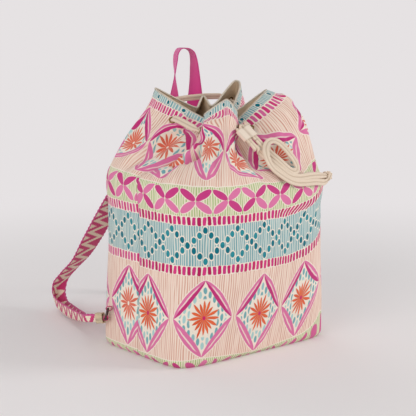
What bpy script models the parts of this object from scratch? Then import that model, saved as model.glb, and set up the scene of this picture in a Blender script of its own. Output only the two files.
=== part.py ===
"""Printed cotton drawcord backpack, built as an assembly of its sewn and fitted pieces.

The bag is a soft box of printed canvas with a flat bottom. Its top is gathered by a flat
drawcord that runs through eight brass eyelets, and a canvas slider holds the two cord ends
at the front. A webbing handle and two webbing shoulder straps are sewn to the back. Each
strap ends in a beige collar and a small loop that holds a steel ring, and the ring hangs in
a tab on the side of the bag.

Units are metres. +Z is up, the front faces -Y and the bag stands on z = 0. The side named
left is the one at -X, as seen by someone who looks at the front.
"""
import math

import bmesh
import bpy
import numpy as np
from mathutils import Matrix, Vector

# Overall size of the cloth body
PERIMETER = 0.944            # flat width of the cloth round the bag
SHOULDER_T = 0.262           # cloth height where the gathers begin
RIM_T = 0.420                # cloth height from the floor edge to the rim
SHOULDER_TILT = 0.006        # how far the full back shoulder stands above the front one
TILT_START_T = 0.140
TILT_RISE_T = 0.120
TILT_DEPTH = 0.125           # half depth at which the whole tilt is reached
SEAM_S = PERIMETER / 4       # the side seams, measured from the front centre
BACK_S = PERIMETER / 2       # the back centre

# Measuring of the cloth
FOLD_SAMPLE = 0.001          # distance over which a slope of the folded cloth is taken
NORMAL_SAMPLE = 0.0002       # and the one for the cloth's normals
RING_STEPS = 1440            # points on a level's outline when its length is measured
SAG_PEAK = 16                # makes the greatest value of q squared times (1 - q) squared one

# Layers of the wall, measured inward from the outer face
CANVAS = 0.0008
LINING = 0.0005
LAYER_GAP = 0.0003           # between canvas and lining
PIECE_GAP = 0.0003           # between any two pieces that touch
SEAM_GAP = 0.0005            # between the two panels at a side seam
SEWN_GAP = 0.0007            # between the wall and the webbing sewn on it, whose facets differ
LINING_FACE = CANVAS + LAYER_GAP
WALL = LINING_FACE + LINING

# Flat bottom
BASE_THICK = 0.0025
BASE_GAP = 0.0006            # between the base panel and the foot of the canvas
LINING_FLOOR_Z = BASE_THICK + PIECE_GAP

# Horizontal sections of the body without its folds
# cloth height, half width, half depth, squareness, height above the floor
LEVELS = np.array([
    (0.000, 0.1486, 0.1038, 7.5, 0.000),
    (0.070, 0.1462, 0.1190, 5.0, 0.070),
    (0.140, 0.1440, 0.1290, 3.8, 0.139),
    (0.210, 0.1440, 0.1285, 3.7, 0.208),
    (0.262, 0.1455, 0.1270, 3.7, 0.258),
    (0.300, 0.1260, 0.1080, 3.2, 0.287),
    (0.360, 0.0900, 0.0760, 2.8, 0.330),
    (0.420, 0.0600, 0.0500, 2.4, 0.350),
])

# Fold lines of the gathered top, each a ridge or a valley that runs from the shoulder to the rim
# place round the bag, point on the rim, lean of the rim inward in degrees, length of the start
# and end tangents, sharpness of the fold, a sag in the middle, and how far the cloth runs on
# toward the next fold line instead of turning back at this one
FOLD_LINES = [
    (-0.002, (0.002, -0.018, 0.324), 75, 0.6, 1.0, 0.9, (-0.022, -0.014, -0.012), 0.0),   # front valley
    (0.048, (-0.008, -0.060, 0.351), 15, 1.0, 1.0, 1.0, (-0.006, 0.0, 0.0), 0.8),
    (0.080, (-0.036, -0.069, 0.371), 20, 1.0, 1.0, 1.0, (0.0, 0.0, 0.0), 0.0),            # front left lobe
    (0.112, (-0.051, -0.048, 0.355), 20, 1.0, 1.0, 1.0, (0.0, 0.0, 0.0), 0.8),
    (0.234, (-0.014, -0.012, 0.334), 70, 0.8, 1.0, 0.8, (-0.006, -0.006, -0.014), 0.0),   # left valley
    (0.352, (-0.068, 0.057, 0.383), 18, 1.3, 1.2, 1.0, (-0.004, 0.004, 0.0), 0.0),        # back left lobe
    (0.430, (-0.003, 0.040, 0.353), 35, 1.0, 1.0, 1.0, (0.0, 0.0, 0.0), 0.0),
    (0.472, (0.029, 0.062, 0.368), 30, 1.0, 1.0, 1.15, (0.0, 0.0, 0.0), 0.0),              # back pleat
    (0.514, (0.025, 0.037, 0.355), 35, 1.0, 1.0, 1.0, (0.0, 0.0, 0.0), 0.0),
    (0.590, (0.076, 0.038, 0.391), 20, 1.0, 1.0, 1.0, (0.0, 0.0, 0.0), 0.0),              # back right lobe
    (0.708, (0.030, -0.004, 0.345), 60, 1.0, 1.0, 0.8, (0.0, 0.0, 0.0), 0.0),             # right valley
    (0.800, (0.059, -0.049, 0.381), 75, 1.1, 1.4, 1.0, (0.004, 0.0, 0.0), 0.0),           # front right lobe
]
MOUTH_CENTRE = (0.006, 0.004)    # the point in plan that the rim leans toward

# Eyelets: place round the bag from the front centre, in the order that the cord meets them
EYELET_T = 0.393
EYELETS = {
    "eyelet_1": 0.047,
    "eyelet_2": 0.155,
    "eyelet_3": 0.283,
    "eyelet_4": 0.375,
    "eyelet_5": PERIMETER - 0.375,
    "eyelet_6": PERIMETER - 0.283,
    "eyelet_7": PERIMETER - 0.160,
    "eyelet_8": PERIMETER - 0.045,
}
EYELET_HOLE_R = 0.0035
EYELET_BARREL_R = 0.0040
EYELET_FLANGE_R = 0.0058
EYELET_BACK_R = 0.0055
EYELET_PLATE = 0.0008        # thickness of each flange
EYELET_STEPS = 12
CLOTH_HOLE_R = 0.0043
HOLE_CUT_DEPTH = 3 * WALL    # length of the pin that cuts a hole
FLAT_R = 0.0115              # the cloth is pressed flat round an eyelet to this radius
FLAT_FADE_R = 0.0200         # and blends back into the fold at this one
EYELET_PATCH = 0.0068        # half side of the flat facet that carries the eyelet
EYELET_PATCH_T = 0.0075

# Facets of the cloth
S_STEP = 0.0150              # longest facet round the bag
FOLD_STEP = 0.0110           # longest facet in the two front folds that carry the slider
T_LINES = (0.0, 0.045, 0.095, 0.150, 0.205, 0.240, 0.262, 0.284, 0.304, 0.324, 0.344, 0.366,
           EYELET_T - EYELET_PATCH_T, EYELET_T + EYELET_PATCH_T, 0.411, RIM_T)

SAME_PLACE = 1e-9            # two places round the bag that are nearer than this are one
CROWDED = 0.25               # a facet line this share of a facet from the last is left out
SLACK = 0.2                  # a facet may be longer by this share before it is split
CUT_BIAS = 0.01              # a cell is cut the other way only where that is flatter by this much

# Drawcord, modelled as a round cord as thick as the flat canvas cord is on average
CORD_R = 0.0022
CORD_STANDOFF = 0.0052       # straight length on each side of an eyelet
CORD_PULL = 0.45             # roundness of the run between two eyelets
CORD_RUN_POINTS = 5
END_LEAD = 0.0035            # each free end starts straight for this length
SLIDER_LEAD_IN = 0.010       # roundness of the cord where it turns into the slider
SLIDER_LEAD_OUT = 0.020      # and where it turns out of it, toward the last eyelet
LEAD_IN_POINTS = 2
LEAD_OUT_POINTS = 4
CORD_BEVEL_STEPS = 2
SLIDER_TRAVEL = 0.006        # the cords stay straight below the slider for this length
SLIDER_LEAD = 0.0015         # and above it for this one

# Slider: a flat canvas keeper with two channels, sewn between them
SLIDER_CENTRE = (-0.0140, -0.0872, 0.3227)
SLIDER_AXIS = (0.3092, -0.6571, -0.6875)     # along the cords, away from the rim
SLIDER_ACROSS = (0.9505, 0.1899, 0.2459)
SLIDER_W = 0.030
SLIDER_L = 0.0185
SLIDER_H = 0.0070
SLIDER_BEVEL = 0.0009
CUT_LENGTH = 1.5             # a cutter is this many times as long as the piece it goes through
BEVEL_STEPS = 2
CHANNEL_W = 0.0112
CHANNEL_H = 0.0052
CHANNEL_PITCH = 0.0145

# Free cord ends: place round the bag, cloth height, and height of the cord's centre above the cloth
CORD_LIFT = 0.0040
CORD_OVER = 0.0132           # beside the place where one cord crosses over the others
CORD_TOP = 0.0155            # and at that place
END_LEFT_ROUTE = [
    (-0.0315, 0.3450, CORD_LIFT), (-0.0345, 0.3300, CORD_LIFT), (-0.0352, 0.3130, CORD_LIFT),
    (-0.0350, 0.2940, CORD_LIFT), (-0.0380, 0.2780, CORD_LIFT), (-0.0540, 0.2695, CORD_LIFT),
    (-0.0770, 0.2680, CORD_LIFT), (-0.1040, 0.2640, CORD_LIFT), (-0.1170, 0.2605, 0.0060),
]
END_RIGHT_ROUTE = [
    (-0.0430, 0.3400, CORD_LIFT), (-0.0445, 0.3250, CORD_LIFT), (-0.0452, 0.3100, CORD_LIFT),
    (-0.0450, 0.2955, CORD_LIFT), (-0.0475, 0.2870, CORD_LIFT), (-0.0530, 0.2830, CORD_LIFT),
    (-0.0590, 0.2860, CORD_LIFT), (-0.0620, 0.2930, CORD_LIFT), (-0.0640, 0.3025, CORD_LIFT),
    (-0.0640, 0.3220, CORD_LIFT), (-0.0630, 0.3380, CORD_LIFT), (-0.0600, 0.3480, 0.0060),
    (-0.0550, 0.3530, 0.0095), (-0.0480, 0.3530, CORD_OVER), (-0.0400, 0.3490, CORD_TOP),
    (-0.0330, 0.3420, CORD_TOP), (-0.0280, 0.3330, CORD_OVER), (-0.0255, 0.3230, 0.0095),
    (-0.0245, 0.3130, 0.0058), (-0.0245, 0.3020, CORD_LIFT), (-0.0250, 0.2880, CORD_LIFT),
    (-0.0290, 0.2700, CORD_LIFT), (-0.0420, 0.2600, CORD_LIFT), (-0.0620, 0.2575, CORD_LIFT),
    (-0.0840, 0.2565, CORD_LIFT), (-0.1080, 0.2520, 0.0045), (-0.1190, 0.2520, 0.0062),
]
KNOT_CENTRE = (0.1272, -0.1115, 0.2520)
KNOT_SIZE = (0.017, 0.014, 0.013)
KNOT_SEGMENTS = 12
KNOT_RINGS = 8

# Handle of webbing on the back
WEBBING_COLUMNS = 5          # lines of points across a webbing
HANDLE_W = 0.027
HANDLE_THICK = 0.0018
HANDLE_ANCHOR_T = (0.291, 0.301, 0.311)
HANDLE_LEFT_S = 0.463
HANDLE_RIGHT_S = 0.521
# Centre of the webbing and the direction of its width in plan, in degrees from +X
HANDLE_FREE = [
    ((0.0050, 0.1060, 0.3250), 0), ((0.0050, 0.1050, 0.3450), 6), ((0.0050, 0.1040, 0.3650), 22),
    ((0.0058, 0.1040, 0.3850), 40), ((0.0068, 0.1040, 0.4050), 56), ((0.0078, 0.1040, 0.4220), 66),
    ((0.0098, 0.1038, 0.4330), 67), ((0.0150, 0.1035, 0.4395), 68), ((0.0240, 0.1030, 0.4405), 68),
    ((0.0330, 0.1030, 0.4390), 68), ((0.0395, 0.1030, 0.4345), 70), ((0.0430, 0.1030, 0.4250), 74),
    ((0.0452, 0.1032, 0.4080), 84), ((0.0468, 0.1038, 0.3900), 96), ((0.0478, 0.1045, 0.3700), 125),
    ((0.0478, 0.1045, 0.3500), 160), ((0.0475, 0.1040, 0.3290), 178),
]

# Shoulder straps of webbing
STRAP_W = 0.040
STRAP_THICK = 0.0020
STRAP_LEFT_S = 0.411
STRAP_ANCHOR_T = (0.283, 0.272, 0.262, 0.252)
# The fold line of the left strap, then its near edge and its far edge measured from that line
STRAP_FREE = [
    ((-0.0640, 0.1400, 0.2380), (-0.0200, 0.0, 0.0), (0.0200, 0.0, 0.0)),
    ((-0.0650, 0.1600, 0.2150), (-0.0200, 0.0, 0.0), (0.0200, 0.0, 0.0)),
    ((-0.0650, 0.1980, 0.1730), (-0.0200, 0.0, 0.0), (0.0200, 0.0, 0.0)),
    ((-0.0650, 0.2350, 0.1300), (-0.0200, 0.0, 0.0), (0.0200, 0.0, 0.0)),
    ((-0.0670, 0.2680, 0.0920), (-0.0198, -0.002, -0.002), (0.0198, 0.002, 0.002)),
    ((-0.0740, 0.2980, 0.0620), (-0.0190, -0.005, 0.002), (0.0190, 0.001, 0.005)),
    ((-0.0830, 0.3140, 0.0400), (-0.0165, -0.009, 0.006), (0.0185, -0.002, 0.007)),
    ((-0.0910, 0.3140, 0.0220), (-0.0120, -0.0125, 0.0100), (0.0170, -0.008, 0.008)),
    ((-0.0980, 0.2960, 0.0095), (-0.0080, -0.0100, 0.0155), (0.0170, -0.006, 0.0090)),
    ((-0.1080, 0.2620, 0.0062), (-0.0060, -0.0030, 0.0188), (0.0160, -0.003, 0.0120)),
    ((-0.1200, 0.2230, 0.0078), (-0.0040, -0.0010, 0.0190), (0.0125, -0.001, 0.0150)),
    ((-0.1310, 0.1870, 0.0130), (-0.0030, 0.0, 0.0160), (0.0085, 0.0, 0.0145)),
    ((-0.1410, 0.1525, 0.0195), (-0.0022, 0.0010, 0.0125), (0.0055, 0.0010, 0.0125)),
]
STRAP_KNEE = 0.5             # place of the middle line of each half on the way to its edge

# Ring in its tab, and the collar and loop at the strap's end, for the left side
RING_CENTRE = (-0.1553, 0.0647, 0.0509)
RING_UP = (0.2684, -0.0220, 0.9630)          # from the ring's centre to the tab
RING_ALONG = (0.633, 0.7576, -0.1592)        # in the ring's plane, away from the front
RING_R = 0.0085
RING_WIRE_R = 0.0015
RING_SEGMENTS = 24
RING_SIDES = 8
LOOP_CLEAR = 0.0010          # between the ring's wire and the webbing round it
LOOP_THICK = 0.0010
LOOP_W = 0.0055
LOOP_ARC_STEPS = 6
TAB_REACH = 0.0030           # length of the tab's straight part
END_LOOP_TURN = 41           # where the strap's loop holds the ring, in degrees from its lowest point
END_LOOP_REACH = 0.0012
COLLAR_AXIS = (0.250, -0.955, 0.160)         # along the strap, toward the ring
COLLAR_L = 0.0130
COLLAR_W = 0.0160
COLLAR_H = 0.0084
COLLAR_WALL = 0.0015
COLLAR_BEVEL = 0.0006
COLLAR_TO_RING = 0.0118      # from the collar's centre to the wire that its loop holds
STRAP_END_W = 0.0110         # height of the gathered strap in the collar
STRAP_END_SPREAD = 0.0013    # half distance between its two plies
STRAP_END_KNEE = 0.8         # height of the fold's corner as a share of that distance
STRAP_END_STEPS = (0.0260, 0.0130, 0.0060, -0.0010)   # behind the collar's centre

# Merging and finish
MERGE = 0.00001              # points nearer than this are merged
CLOTH_ROUGHNESS = 0.85
METAL_ROUGHNESS = 0.38

# Colours of the pieces
COLOURS = {
    "front_panel": (0.72, 0.52, 0.47), "back_panel": (0.76, 0.58, 0.53), "lining": (0.52, 0.38, 0.23),
    "base_panel": (0.70, 0.55, 0.42), "drawcord": (0.75, 0.64, 0.51), "webbing": (0.62, 0.06, 0.20),
    "beige": (0.66, 0.55, 0.38), "brass": (0.45, 0.33, 0.18), "steel": (0.22, 0.19, 0.18),
}


def clear_scene():
    """Remove what the start-up file brought and return the two collections in use."""
    for ob in list(bpy.data.objects):
        bpy.data.objects.remove(ob, do_unlink=True)
    parts = bpy.data.collections.new("drawcord_backpack")
    cutters = bpy.data.collections.new("cutters")
    for collection in (parts, cutters):
        bpy.context.scene.collection.children.link(collection)
    cutters.hide_render = True
    return parts, cutters


PARTS, CUTTERS = clear_scene()


def material(name, colour, roughness, metallic=0.0):
    """Return a new Principled material."""
    mat = bpy.data.materials.new(name)
    mat.use_nodes = True
    shader = mat.node_tree.nodes["Principled BSDF"]
    shader.inputs["Base Color"].default_value = (*colour, 1.0)
    shader.inputs["Roughness"].default_value = roughness
    shader.inputs["Metallic"].default_value = metallic
    mat.diffuse_color = (*colour, 1.0)
    return mat


def cloth(name, colour):
    """Return a matt fabric material."""
    return material(name, COLOURS[colour], CLOTH_ROUGHNESS)


def metal(name, colour):
    """Return a metal material."""
    return material(name, COLOURS[colour], METAL_ROUGHNESS, 1.0)


def unit(v):
    """Return the vector scaled to length one."""
    v = np.asarray(v, float)
    return v / np.linalg.norm(v)


# Shape of the cloth

def smooth_table(x, xp, fp):
    """Interpolate the rows of a table smoothly, with slopes taken from their neighbours."""
    slope = np.gradient(fp, xp, axis=0)
    i = np.clip(np.searchsorted(xp, x, side="right") - 1, 0, len(xp) - 2)
    h = (xp[i + 1] - xp[i])[:, None]
    q = (x - xp[i])[:, None] / h
    return ((2 * q**3 - 3 * q**2 + 1) * fp[i] + (q**3 - 2 * q**2 + q) * h * slope[i]
            + (3 * q**2 - 2 * q**3) * fp[i + 1] + (q**3 - q**2) * h * slope[i + 1])


def ring_points(half_w, half_d, squareness, u):
    """Return plan points at the fractions u of a superellipse's length, from the front to -X."""
    angle = -np.linspace(0, 2 * math.pi, RING_STEPS + 1) - math.pi / 2
    c = np.cos(angle)
    s = np.sin(angle)
    r = (np.abs(c / half_w)**squareness + np.abs(s / half_d)**squareness)**(-1 / squareness)
    x = r * c
    y = r * s
    length = np.concatenate([[0], np.cumsum(np.hypot(np.diff(x), np.diff(y)))])
    at = np.mod(u, 1.0) * length[-1]
    return np.stack([np.interp(at, length, x), np.interp(at, length, y)], -1)


def body(s, t):
    """Return the body without folds: one row for each cloth height, one column for each place."""
    rows = []
    for height, (half_w, half_d, squareness, z) in zip(t, smooth_table(t, LEVELS[:, 0], LEVELS[:, 1:])):
        plan = ring_points(half_w, half_d, squareness, s / PERIMETER)
        rise = SHOULDER_TILT * np.clip((height - TILT_START_T) / TILT_RISE_T, 0, 1)**2
        rows.append(np.column_stack([plan, z + rise * plan[:, 1] / TILT_DEPTH]))
    return np.array(rows)


def fold_curves(t):
    """Return the curve of each fold line above the shoulder, from there to its rim point."""
    length = RIM_T - SHOULDER_T
    q = np.clip((t - SHOULDER_T) / length, 0, None)[:, None]
    curves = []
    for place, rim, lean, start, end, _, sag, _ in FOLD_LINES:
        low, here, high = body(np.array([place]), SHOULDER_T + FOLD_SAMPLE * np.array([-1, 0, 1]))[:, 0]
        rim = np.array(rim)
        inward = unit((MOUTH_CENTRE[0] - rim[0], MOUTH_CENTRE[1] - rim[1], 0))
        lean = math.radians(lean)
        start_tangent = (high - low) / (2 * FOLD_SAMPLE) * length * start
        end_tangent = (np.array((0, 0, math.cos(lean))) + inward * math.sin(lean)) * length * end
        curves.append((2 * q**3 - 3 * q**2 + 1) * here + (q**3 - 2 * q**2 + q) * start_tangent
                      + (3 * q**2 - 2 * q**3) * rim + (q**3 - q**2) * end_tangent
                      + SAG_PEAK * q**2 * (1 - q)**2 * np.array(sag))
    return np.stack(curves, 1)


def folded(s, t):
    """Return the outer face of the cloth, folds included, as a grid of points."""
    grid = body(s, t)
    top = t > SHOULDER_T
    if not top.any():
        return grid
    places = np.array([line[0] for line in FOLD_LINES])
    sharp = np.array([line[5] for line in FOLD_LINES])
    shift = fold_curves(t[top]) - body(places, t[top])
    around = np.mod(s - places[0], PERIMETER) + places[0]
    ends = np.append(places, places[0] + PERIMETER)
    i = np.clip(np.searchsorted(ends, around, side="right") - 1, 0, len(places) - 1)
    j = (i + 1) % len(places)
    f = (around - ends[i]) / (ends[i + 1] - ends[i])
    g = 1 - (1 - f**sharp[i])**sharp[j]
    w = ((1 - np.cos(math.pi * g)) / 2)[None, :, None]
    width = np.diff(ends)
    step = (np.roll(shift, -1, axis=1) - shift) / width[None, :, None]
    run_on = np.array([line[7] for line in FOLD_LINES])[None, :, None]
    slope = run_on * (step + np.roll(step, 1, axis=1)) / 2
    q = f[None, :, None]
    grid[top] += (shift[:, i] * (1 - w) + shift[:, j] * w
                  + width[i][None, :, None] * (q * (1 - q)**2 * slope[:, i] - q**2 * (1 - q) * slope[:, j]))
    return grid


class EyeletSeat:
    """The flat spot that an eyelet makes in the cloth: its centre, normal and stretch."""

    def __init__(self, s):
        around = FOLD_SAMPLE * np.array([-1, 0, 1])
        grid = folded(s + around, EYELET_T + around)
        along_s = (grid[1, 2] - grid[1, 0]) / (2 * FOLD_SAMPLE)
        along_t = (grid[2, 1] - grid[0, 1]) / (2 * FOLD_SAMPLE)
        self.s = s
        self.centre = grid[1, 1]
        self.normal = unit(np.cross(along_t, along_s))
        self.stretch_s = np.linalg.norm(along_s)
        self.stretch_t = np.linalg.norm(along_t)
        self.patch_s = EYELET_PATCH / self.stretch_s

    def flatten(self, s, t, grid):
        """Press the points near the eyelet into its plane."""
        away_s = (np.mod(s - self.s + BACK_S, PERIMETER) - BACK_S) * self.stretch_s
        away = np.hypot(away_s[None, :], ((t - EYELET_T) * self.stretch_t)[:, None])
        f = np.clip((FLAT_FADE_R - away) / (FLAT_FADE_R - FLAT_R), 0, 1)
        w = f * f * (3 - 2 * f)
        off = (grid - self.centre) @ self.normal
        return grid - (off * w)[..., None] * self.normal


SEATS = {name: EyeletSeat(s) for name, s in EYELETS.items()}


def outer_face(s, t):
    """Return the outer face of the cloth with the flat spots of the eyelets."""
    grid = folded(s, t)
    for seat in SEATS.values():
        grid = seat.flatten(s, t, grid)
    return grid


def cloth_face(s, t, depth):
    """Return points at a depth inward from the outer face, on the cloth's own normals."""
    along_s = outer_face(s + NORMAL_SAMPLE, t) - outer_face(s - NORMAL_SAMPLE, t)
    along_t = outer_face(s, t + NORMAL_SAMPLE) - outer_face(s, np.maximum(t - NORMAL_SAMPLE, 0))
    normal = np.cross(along_t, along_s)
    normal /= np.linalg.norm(normal, axis=-1, keepdims=True)
    return outer_face(s, t) - depth * normal


def cloth_point(s, t, lift):
    """Return one point at a height above the outer face."""
    return cloth_face(np.array([s]), np.array([t]), -lift)[0, 0]


def cloth_lines(start, end):
    """Return the facet lines of the cloth between two places round the bag."""
    marks = [line[0] for line in FOLD_LINES]
    for seat in SEATS.values():
        marks += [seat.s - seat.patch_s, seat.s + seat.patch_s]
    shifted = [m + k * PERIMETER for m in marks for k in (-1, 0, 1)]
    fixed = sorted(m for m in shifted if start < m < end)
    seats = [(seat.s + k * PERIMETER, seat.patch_s) for seat in SEATS.values() for k in (-1, 0, 1)]
    clear = S_STEP * CROWDED
    kept = [start]
    for m in fixed:
        on_patch = any(abs(abs(m - s) - half) < SAME_PLACE for s, half in seats)
        inside = any(abs(m - s) < half - SAME_PLACE for s, half in seats)
        crowded = m - kept[-1] < clear or end - m < clear
        if not inside and (on_patch or not crowded):
            kept.append(m)
    kept.append(end)
    lines = []
    for a, b in zip(kept, kept[1:]):
        patch = any(abs(a - (s - half)) < SAME_PLACE for s, half in seats)
        longest = FOLD_STEP if abs(a + b) / 2 < abs(EYELETS["eyelet_1"]) else S_STEP
        count = max(1, round((b - a) / S_STEP) if patch else math.ceil((b - a) / longest - SLACK))
        lines += list(a + (b - a) * np.arange(count) / count)
    return np.array(lines + [end])


# Making of the solids

def add_object(name, mesh, mat, collection=None):
    """Link a mesh to the scene as a named object with its material."""
    ob = bpy.data.objects.new(name, mesh)
    (collection or PARTS).objects.link(ob)
    if mat:
        mesh.materials.append(mat)
    return ob


def mesh_from(name, points, faces):
    """Return a closed mesh with its faces turned outward."""
    mesh = bpy.data.meshes.new(name)
    mesh.from_pydata([tuple(p) for p in np.asarray(points, float)], [], faces)
    bm = bmesh.new()
    bm.from_mesh(mesh)
    bmesh.ops.recalc_face_normals(bm, faces=bm.faces)
    bm.to_mesh(mesh)
    bm.free()
    return mesh


def flatter_cut(grid, ring=False):
    """Return for each cell whether its other diagonal gives two triangles that lie flatter."""
    if ring:
        grid = np.concatenate([grid, grid[:, :1]], axis=1)
    a, b, c, d = grid[:-1, :-1], grid[:-1, 1:], grid[1:, :-1], grid[1:, 1:]

    def agreement(p, q, r, m, n, o):
        """Return how nearly two triangles face the same way, 1 at most."""
        first, second = np.cross(q - p, r - p), np.cross(n - m, o - m)
        size = np.linalg.norm(first, axis=-1) * np.linalg.norm(second, axis=-1)
        return (first * second).sum(-1) / size
    return agreement(a, c, b, c, d, b) > agreement(a, c, d, a, d, b) + CUT_BIAS


def grid_faces(other_cut, offset, ring=False):
    """Return two triangles for each cell of a grid."""
    rows, cells = other_cut.shape
    columns = cells if ring else cells + 1
    faces = []
    for i in range(rows):
        for j in range(cells):
            k = (j + 1) % columns
            a, b = offset + i * columns + j, offset + i * columns + k
            c, d = a + columns, b + columns
            faces += [(a, c, b), (c, d, b)] if other_cut[i, j] else [(a, c, d), (a, d, b)]
    return faces


def sheet_solid(name, front, back, mat, other_cut=None):
    """Make a closed sheet between two equal grids, with a narrow face along each edge."""
    rows, columns = front.shape[:2]
    step = rows * columns
    if other_cut is None:
        other_cut = flatter_cut(front)
    faces = grid_faces(other_cut, 0) + grid_faces(other_cut, step)
    rim = list(range(columns))
    rim += [i * columns + columns - 1 for i in range(1, rows)]
    rim += [(rows - 1) * columns + j for j in range(columns - 2, -1, -1)]
    rim += [i * columns for i in range(rows - 2, 0, -1)]
    for a, b in zip(rim, rim[1:] + rim[:1]):
        faces.append((a, b, b + step, a + step))
    points = np.concatenate([front.reshape(-1, 3), back.reshape(-1, 3)])
    return add_object(name, mesh_from(name, points, faces), mat)


def webbing(name, middle, thickness, mat):
    """Make a strip of webbing from the grid of its middle surface."""
    normal = np.cross(np.gradient(middle, axis=0), np.gradient(middle, axis=1))
    normal /= np.linalg.norm(normal, axis=-1, keepdims=True)
    half = normal * thickness / 2
    return sheet_solid(name, middle + half, middle - half, mat)


def tube(name, points, radius, mat):
    """Make a round cord along a line of points, with closed ends."""
    curve = bpy.data.curves.new(name, "CURVE")
    curve.dimensions = "3D"
    curve.bevel_depth = radius
    curve.bevel_resolution = CORD_BEVEL_STEPS
    curve.use_fill_caps = True
    spline = curve.splines.new("POLY")
    spline.points.add(len(points) - 1)
    for target, p in zip(spline.points, points):
        target.co = (*p, 1.0)
    drawn = bpy.data.objects.new(name + "_curve", curve)
    PARTS.objects.link(drawn)
    bpy.context.view_layer.update()
    evaluated = drawn.evaluated_get(bpy.context.evaluated_depsgraph_get())
    mesh = bpy.data.meshes.new_from_object(evaluated)
    bpy.data.objects.remove(drawn, do_unlink=True)
    bm = bmesh.new()
    bm.from_mesh(mesh)
    bmesh.ops.remove_doubles(bm, verts=bm.verts, dist=MERGE)
    bmesh.ops.recalc_face_normals(bm, faces=bm.faces)
    bm.to_mesh(mesh)
    bm.free()
    mesh.materials.clear()
    return add_object(name, mesh, mat)


def frame(x_axis, y_axis, z_axis, origin):
    """Return the matrix that carries the local axes to three directions and a place."""
    matrix = Matrix.Identity(4)
    for column, v in enumerate((x_axis, y_axis, z_axis, origin)):
        for row in range(3):
            matrix[row][column] = float(v[row])
    return matrix


def box(name, size, matrix, mat, collection=None, bevel=0.0):
    """Make a box from its three sizes, placed by a matrix."""
    mesh = bpy.data.meshes.new(name)
    bm = bmesh.new()
    bmesh.ops.create_cube(bm, size=1.0, matrix=Matrix.Diagonal((*size, 1.0)))
    bm.to_mesh(mesh)
    bm.free()
    ob = add_object(name, mesh, mat, collection)
    ob.matrix_world = matrix
    if bevel:
        rounded = ob.modifiers.new("rounded edges", "BEVEL")
        rounded.width = bevel
        rounded.segments = BEVEL_STEPS
    return ob


def hide_cutter(ob):
    """Show a cutter as wire only."""
    ob.hide_render = True
    ob.display_type = "WIRE"


def cut(ob, cutter):
    """Cut one solid by another."""
    hide_cutter(cutter)
    modifier = ob.modifiers.new("cut by " + cutter.name, "BOOLEAN")
    modifier.operation = "DIFFERENCE"
    modifier.solver = "EXACT"
    modifier.object = cutter


def eyelet_cutter(name, seats):
    """Make one cutter with a short round pin at each eyelet."""
    bm = bmesh.new()
    for seat in seats:
        axis = Vector(seat.normal)
        centre = Vector(seat.centre) - axis * (WALL / 2)
        place = Matrix.Translation(centre) @ axis.to_track_quat("Z", "Y").to_matrix().to_4x4()
        bmesh.ops.create_cone(bm, cap_ends=True, segments=EYELET_STEPS, radius1=CLOTH_HOLE_R,
                              radius2=CLOTH_HOLE_R, depth=HOLE_CUT_DEPTH, matrix=place)
    mesh = bpy.data.meshes.new(name)
    bm.to_mesh(mesh)
    bm.free()
    return add_object(name, mesh, None, CUTTERS)


def seats_between(start, end):
    """Return the eyelet seats that lie between two places round the bag."""
    return [seat for seat in SEATS.values()
            if any(start < seat.s + k * PERIMETER < end for k in (-1, 0, 1))]


# Cloth pieces

def build_panel(name, start, end, colour):
    """Make one printed canvas panel, cut clear of its neighbour at both side seams."""
    s = cloth_lines(start, end)
    t = np.array(T_LINES)
    faces = []
    for depth in (0.0, CANVAS):
        grid = cloth_face(s, t, depth)
        for edge, inner in ((0, 1), (-1, -2)):
            inward = grid[:, inner] - grid[:, edge]
            inward /= np.linalg.norm(inward, axis=-1, keepdims=True)
            grid[:, edge] += inward * SEAM_GAP / 2
        grid[0, :, 2] = 0.0
        faces.append(grid)
    panel = sheet_solid(name, faces[0], faces[1], cloth(name, colour), flatter_cut(outer_face(s, t)))
    cut(panel, eyelet_cutter(name + "_holes", seats_between(start, end)))
    return s


def build_lining(s):
    """Make the lining: a thin cup inside the panels with a flat bottom."""
    t = np.array(T_LINES)
    faces = []
    for depth, floor in ((LINING_FACE, LINING_FLOOR_Z), (WALL, LINING_FLOOR_Z + LINING)):
        grid = cloth_face(s, t, depth)
        share = (floor - grid[0, :, 2]) / (grid[1, :, 2] - grid[0, :, 2])
        grid[0] += (grid[1] - grid[0]) * share[:, None]
        faces.append(grid)
    outer, inner = faces
    rows, columns = outer.shape[:2]
    step = rows * columns
    other_cut = flatter_cut(outer_face(s, t), True)
    faces = grid_faces(other_cut, 0, True) + grid_faces(other_cut, step, True)
    top = (rows - 1) * columns
    for j in range(columns):
        k = (j + 1) % columns
        faces.append((top + j, top + k, step + top + k, step + top + j))
    faces.append(tuple(range(columns)))
    faces.append(tuple(step + j for j in range(columns)))
    points = np.concatenate([outer.reshape(-1, 3), inner.reshape(-1, 3)])
    lining = add_object("lining", mesh_from("lining", points, faces), cloth("lining", "lining"))
    cut(lining, eyelet_cutter("lining_holes", SEATS.values()))


def build_base(s):
    """Make the stiff base panel that the bag stands on, inside the foot of the walls."""
    plan = cloth_face(s, np.array([0.0]), CANVAS + BASE_GAP)[0]
    plan[:, 2] = 0.0
    mesh = bpy.data.meshes.new("base_panel")
    bm = bmesh.new()
    face = bm.faces.new([bm.verts.new(p) for p in plan])
    raised = bmesh.ops.extrude_face_region(bm, geom=[face])
    top = [v for v in raised["geom"] if isinstance(v, bmesh.types.BMVert)]
    bmesh.ops.translate(bm, verts=top, vec=(0, 0, BASE_THICK))
    bmesh.ops.recalc_face_normals(bm, faces=bm.faces)
    bm.to_mesh(mesh)
    bm.free()
    add_object("base_panel", mesh, cloth("base_panel", "base_panel"))


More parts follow.
